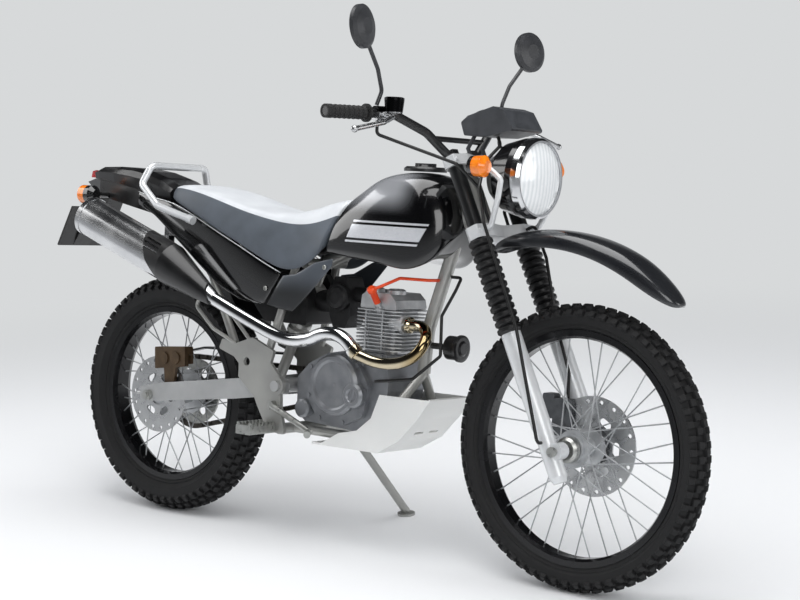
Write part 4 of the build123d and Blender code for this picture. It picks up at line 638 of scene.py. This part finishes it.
# On each flank a level silver band runs between two fine lines, all with raked ends. Rows: the Z of
# each one's low and high edge. The edges are 0.8 mm soft.
stripe_rear, stripe_length, stripe_rake = 12, 226, 0.46
stripe_heights = ((789, 794), (800, 834), (840, 845))
stripes = []
for low, high in stripe_heights:
    low_end = stripe_rear + (low - stripe_heights[0][0]) * stripe_rake
    high_end = stripe_rear + (high - stripe_heights[0][0]) * stripe_rake
    stripes.append(((low_end, low), (high_end, high),
                    (high_end + stripe_length, high), (low_end + stripe_length, low)))
tank_place = on_machine(tank_lacquer)
striped = 0.0
for corners in stripes:
    inside = 1.0
    for (x, z), (next_x, next_z) in zip(corners, corners[1:] + corners[:1]):
        inward = Vector((next_z - z, 0, x - next_x)).normalized()
        reach = add(tank_lacquer, "VectorMath", {0: tank_place, 1: inward}, operation="DOT_PRODUCT")
        edge = inward.dot(Vector((x, 0, z))) / 1000
        within = add(tank_lacquer, "MapRange", {"Value": reach.outputs["Value"], "From Min": edge - 0.0004,
                                                "From Max": edge + 0.0004})
        inside = calc(tank_lacquer, "MINIMUM", within.outputs["Result"], inside)
    striped = calc(tank_lacquer, "MAXIMUM", inside, striped)
flake = add(tank_lacquer, "TexNoise", {"Vector": tank_place, "Scale": per_mm(2.2), "Detail": 1.0})
silver = add(tank_lacquer, "ValToRGB", {"Fac": flake.outputs["Fac"]})
silver.color_ramp.elements[0].color = linear("BFC2C9")
silver.color_ramp.elements[1].color = linear("F2F3F6")
tint(tank_lacquer, striped, silver.outputs["Color"])

# X, then half width and Z of the flat top, the shoulder, the widest line and the low edge. The two
# rear rings slant with the seat's front, and give each point of their half in full.
tank_front = [(34, (42, 932), (82, 916), (118, 858), (119, 743)),
              (74, (46, 959), (88, 940), (122, 868), (123, 741)),
              (130, (50, 971), (92, 952), (124, 868), (125, 736)),
              (190, (50, 973), (90, 954), (122, 870), (122, 722)),
              (238, (46, 965), (84, 944), (114, 868), (114, 732)),
              (276, (38, 940), (70, 920), (96, 858), (96, 758)),
              (306, (26, 880), (50, 866), (64, 842), (64, 812))]
tank_half_rings = [[(-8.5, 38, 903), (-14.5, 76, 888), (-37, 106, 828), (-66, 108, 752), (-64, 88, 757),
                    (-64, 40, 758)],
                   [(4, 40, 912), (0, 78, 898), (-16, 112, 838), (-34, 113, 748), (-34, 92, 757),
                    (-34, 40, 758)]]
tank_half_rings += [[(x, *top), (x, *shoulder), (x, *widest), (x, *low), (x, low[0] - 20, low[1] + 5),
                     (x, low[0] * 0.4, max(low[1] + 6, 757))] for x, top, shoulder, widest, low in tank_front]
tank = drawn_out("fuel_tank_shell", [half + [(x, -y, z) for x, y, z in reversed(half)]
                                     for half in tank_half_rings])


def at_seat(point):
    """Whether a point lies on the slanting edge, in mm, where the tank meets the seat."""
    return point.x < -5 and abs(point.x - (point.z - 712.8) * 0.376 + 80.5) < 14


creased(tank, 0.9, lambda a, b: abs(a.x - b.x) < 60 and at_seat(a) and at_seat(b))
smoothed(tank, 3)
tank.data.materials.append(tank_lacquer)
park(tank, "chassis", "fuel_tank")
dress(bar_black, "tank_cap")

# Seat: foam on a pan under two-tone vinyl, silver on the crown and blue-grey down the sides, sewn
# together along the seam. The vinyl is dull, with a fine soft grain.
# X, then Z of the crown, half width and Z of the seam and of the low edge. The two front rings slant
# with the tank, and give each point of their half in full.
seat_silver = finish("silver_seat_vinyl", ("C3C6CA", "CED1D4"), 50, (0.42, 0.5), 1.4, 0.12)
seat_grey = finish("blue_grey_seat_vinyl", ("454B52", "505760"), 60, (0.45, 0.55), 1.4, 0.15)
seat_sections = [(-646, 898, 70, 894, 80, 876), (-612, 914, 98, 905, 112, 866),
                 (-520, 906, 110, 897, 124, 832), (-431, 886, 112, 877, 126, 794),
                 (-345, 862, 111, 855, 126, 761), (-257, 850, 107, 840, 125, 722),
                 (-194, 855, 101, 831, 124, 699), (-133, 873, 96, 829, 122, 704),
                 (-85, 889, 94, 838, 120, 738)]
seat_halves = [[(x, seam * 0.4, crown), (x, seam * 0.84, seam_z + (crown - seam_z) * 0.6), (x, seam, seam_z),
                (x, (seam + low) / 2 + 4, (seam_z + low_z) / 2), (x, low, low_z), (x, low - 9, low_z + 1),
                (x, (low - 9) * 0.5, max(low_z + 2, min(crown - 30, 800)))]
               for x, crown, seam, seam_z, low, low_z in seat_sections]
seat_halves += [[(-36, 36, 897), (-39, 76, 880), (-46, 91, 851), (-62, 112, 805), (-76, 119, 750),
                 (-76, 110, 752), (-76, 55, 800)],
                [(-11.5, 34, 899), (-16, 74, 884), (-25.6, 89, 859.5), (-42, 108, 815), (-59, 118, 771),
                 (-60, 108, 773), (-50, 54, 802)]]
seat = drawn_out("seat_cushion", [half + [(x, -y, z) for x, y, z in reversed(half)] for half in seat_halves])
seat.data.materials.append(seat_silver)
seat.data.materials.append(seat_grey)
ring_size = 2 * len(seat_halves[0])
crown_places = (0, 1, 2, ring_size - 3, ring_size - 2, ring_size - 1)       # from seam to seam round a ring
for face in seat.data.polygons:
    on_crown = all(k % ring_size in crown_places for k in face.vertices)
    face.material_index = 0 if on_crown else 1
smoothed(seat, 3)
park(seat, "chassis", "seat")

# Side covers: thin mouldings below the seat, gloss black behind and blue-grey in front, the front one
# darkening to near black towards its low edge as painted shade, each held by a screw, with a pale bead along
# the rear one's
# top as a painted highlight. Rows: the top, middle and low points of a section.
gloss_black = finish("gloss_black_side_cover", ("060607", "0A0A0B"), 100, (0.1, 0.16), 1.5, 0.004,
                     {"Coat Weight": 1.0, "Coat Roughness": 0.03})
front_cover_grey_and_shade = finish("blue_grey_front_cover_and_painted_shade", ("3E434A", "4A5058"), 120, (0.3, 0.4), 0.8, 0.03,
                    {"Coat Weight": 0.3})
tail_black = finish("moulded_black_plastic", ("0C0C0D", "131314"), 40, (0.26, 0.36), 0.9, 0.03,
                    {"Coat Weight": 0.4, "Coat Roughness": 0.1})
# Painted shade: the front cover darkens to near black towards its low edge.
fade(front_cover_grey_and_shade, "Z", 705, 640, "101316")
rear_cover = [((-191, 118, 693), (-221, 122.5, 650), (-252, 118, 607)),
              ((-257, 119, 717), (-270, 123, 662), (-290, 117, 608)),
              ((-345, 120, 756), (-345, 122, 684), (-345, 113, 612)),
              ((-431, 119, 789), (-431, 119, 717), (-431, 109, 646)),
              ((-520, 116, 827), (-520, 114, 766), (-520, 106, 704)),
              ((-612, 107, 860), (-612, 108, 814), (-612, 104, 768)),
              ((-700, 94, 866), (-700, 96, 844), (-700, 94, 822)),
              ((-790, 74, 884), (-790, 76, 866), (-790, 74, 848))]
front_cover = [((-24, 113, 744), (-24, 114, 735.5), (-24, 113, 727)),
               ((-84, 117, 731), (-84, 119, 696.5), (-84, 116, 662)),
               ((-147, 118, 696), (-147, 122, 644), (-150, 118, 592)),
               ((-189.5, 118, 693), (-220.4, 122.5, 650), (-251.4, 118, 607))]
cover_wall = 3.6
# The pale bead that draws the painted highlight along the rear cover's top: its radius, and how far out and
# up it sits, in mm.
highlight_bead_radius, highlight_bead_out, highlight_bead_up = 1.7, 0.4, 0.6
highlight_bead_turns = [math.pi * k / 4 for k in range(8)]
screw_profile = [(0, 0), (0.0062, 0), (0.0062, 0.0022), (0.005, 0.0034), (0.003, 0.0034), (0.003, 0.0016),
                 (0, 0.0016)]
for side, hand in ((-1, "right"), (1, "left")):
    for name, rows, paint in (("rear_cover", rear_cover, gloss_black),
                              ("front_cover", front_cover, front_cover_grey_and_shade)):
        rings = []
        for top, middle, low in rows:
            outer = [top, middle, low]
            inner = [(x, y - cover_wall, z) for x, y, z in reversed(outer)]
            rings.append([(x, side * y, z) for x, y, z in outer + inner])
        cover = drawn_out(hand + "_" + name, rings)
        # The edges across the wall stay sharp, at the cover's top and low edge.
        creased(cover, 1.0, lambda a, b: abs(abs(a.y) - abs(b.y)) > 3.4 and abs(a.z - b.z) < 1)
        smoothed(cover, 2)
        cover.data.materials.append(paint)
        park(cover, "chassis")
    # Painted highlight: a pale bead along the rear cover's top draws the line of light that runs there.
    highlight_bead_rings = [[(x, side * (y + highlight_bead_out + highlight_bead_radius * math.cos(turn)),
                      z + highlight_bead_up + highlight_bead_radius * math.sin(turn)) for turn in highlight_bead_turns]
                    for (x, y, z), middle, low in rear_cover]
    highlight_bead = drawn_out(hand + "_cover_highlight_bead", highlight_bead_rings)
    smoothed(highlight_bead, 2)
    highlight_bead.data.materials.append(rail_enamel)
    park(highlight_bead, "chassis")
    for name, x, y, z in (("rear", -243, 122.0, 652), ("front", -50, 115.6, 719)):
        screw = turned(hand + "_" + name + "_cover_screw", screw_profile,
                       (x / 1000, side * y / 1000, z / 1000), (0, side, 0), 32)
        screw.data.materials.append(zinc_steel)
        park(screw, "chassis")
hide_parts("side_covers")
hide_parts("side_cover_fronts")
dress(tail_black, "rear_fender", "plate_holder", "tail_cowl")
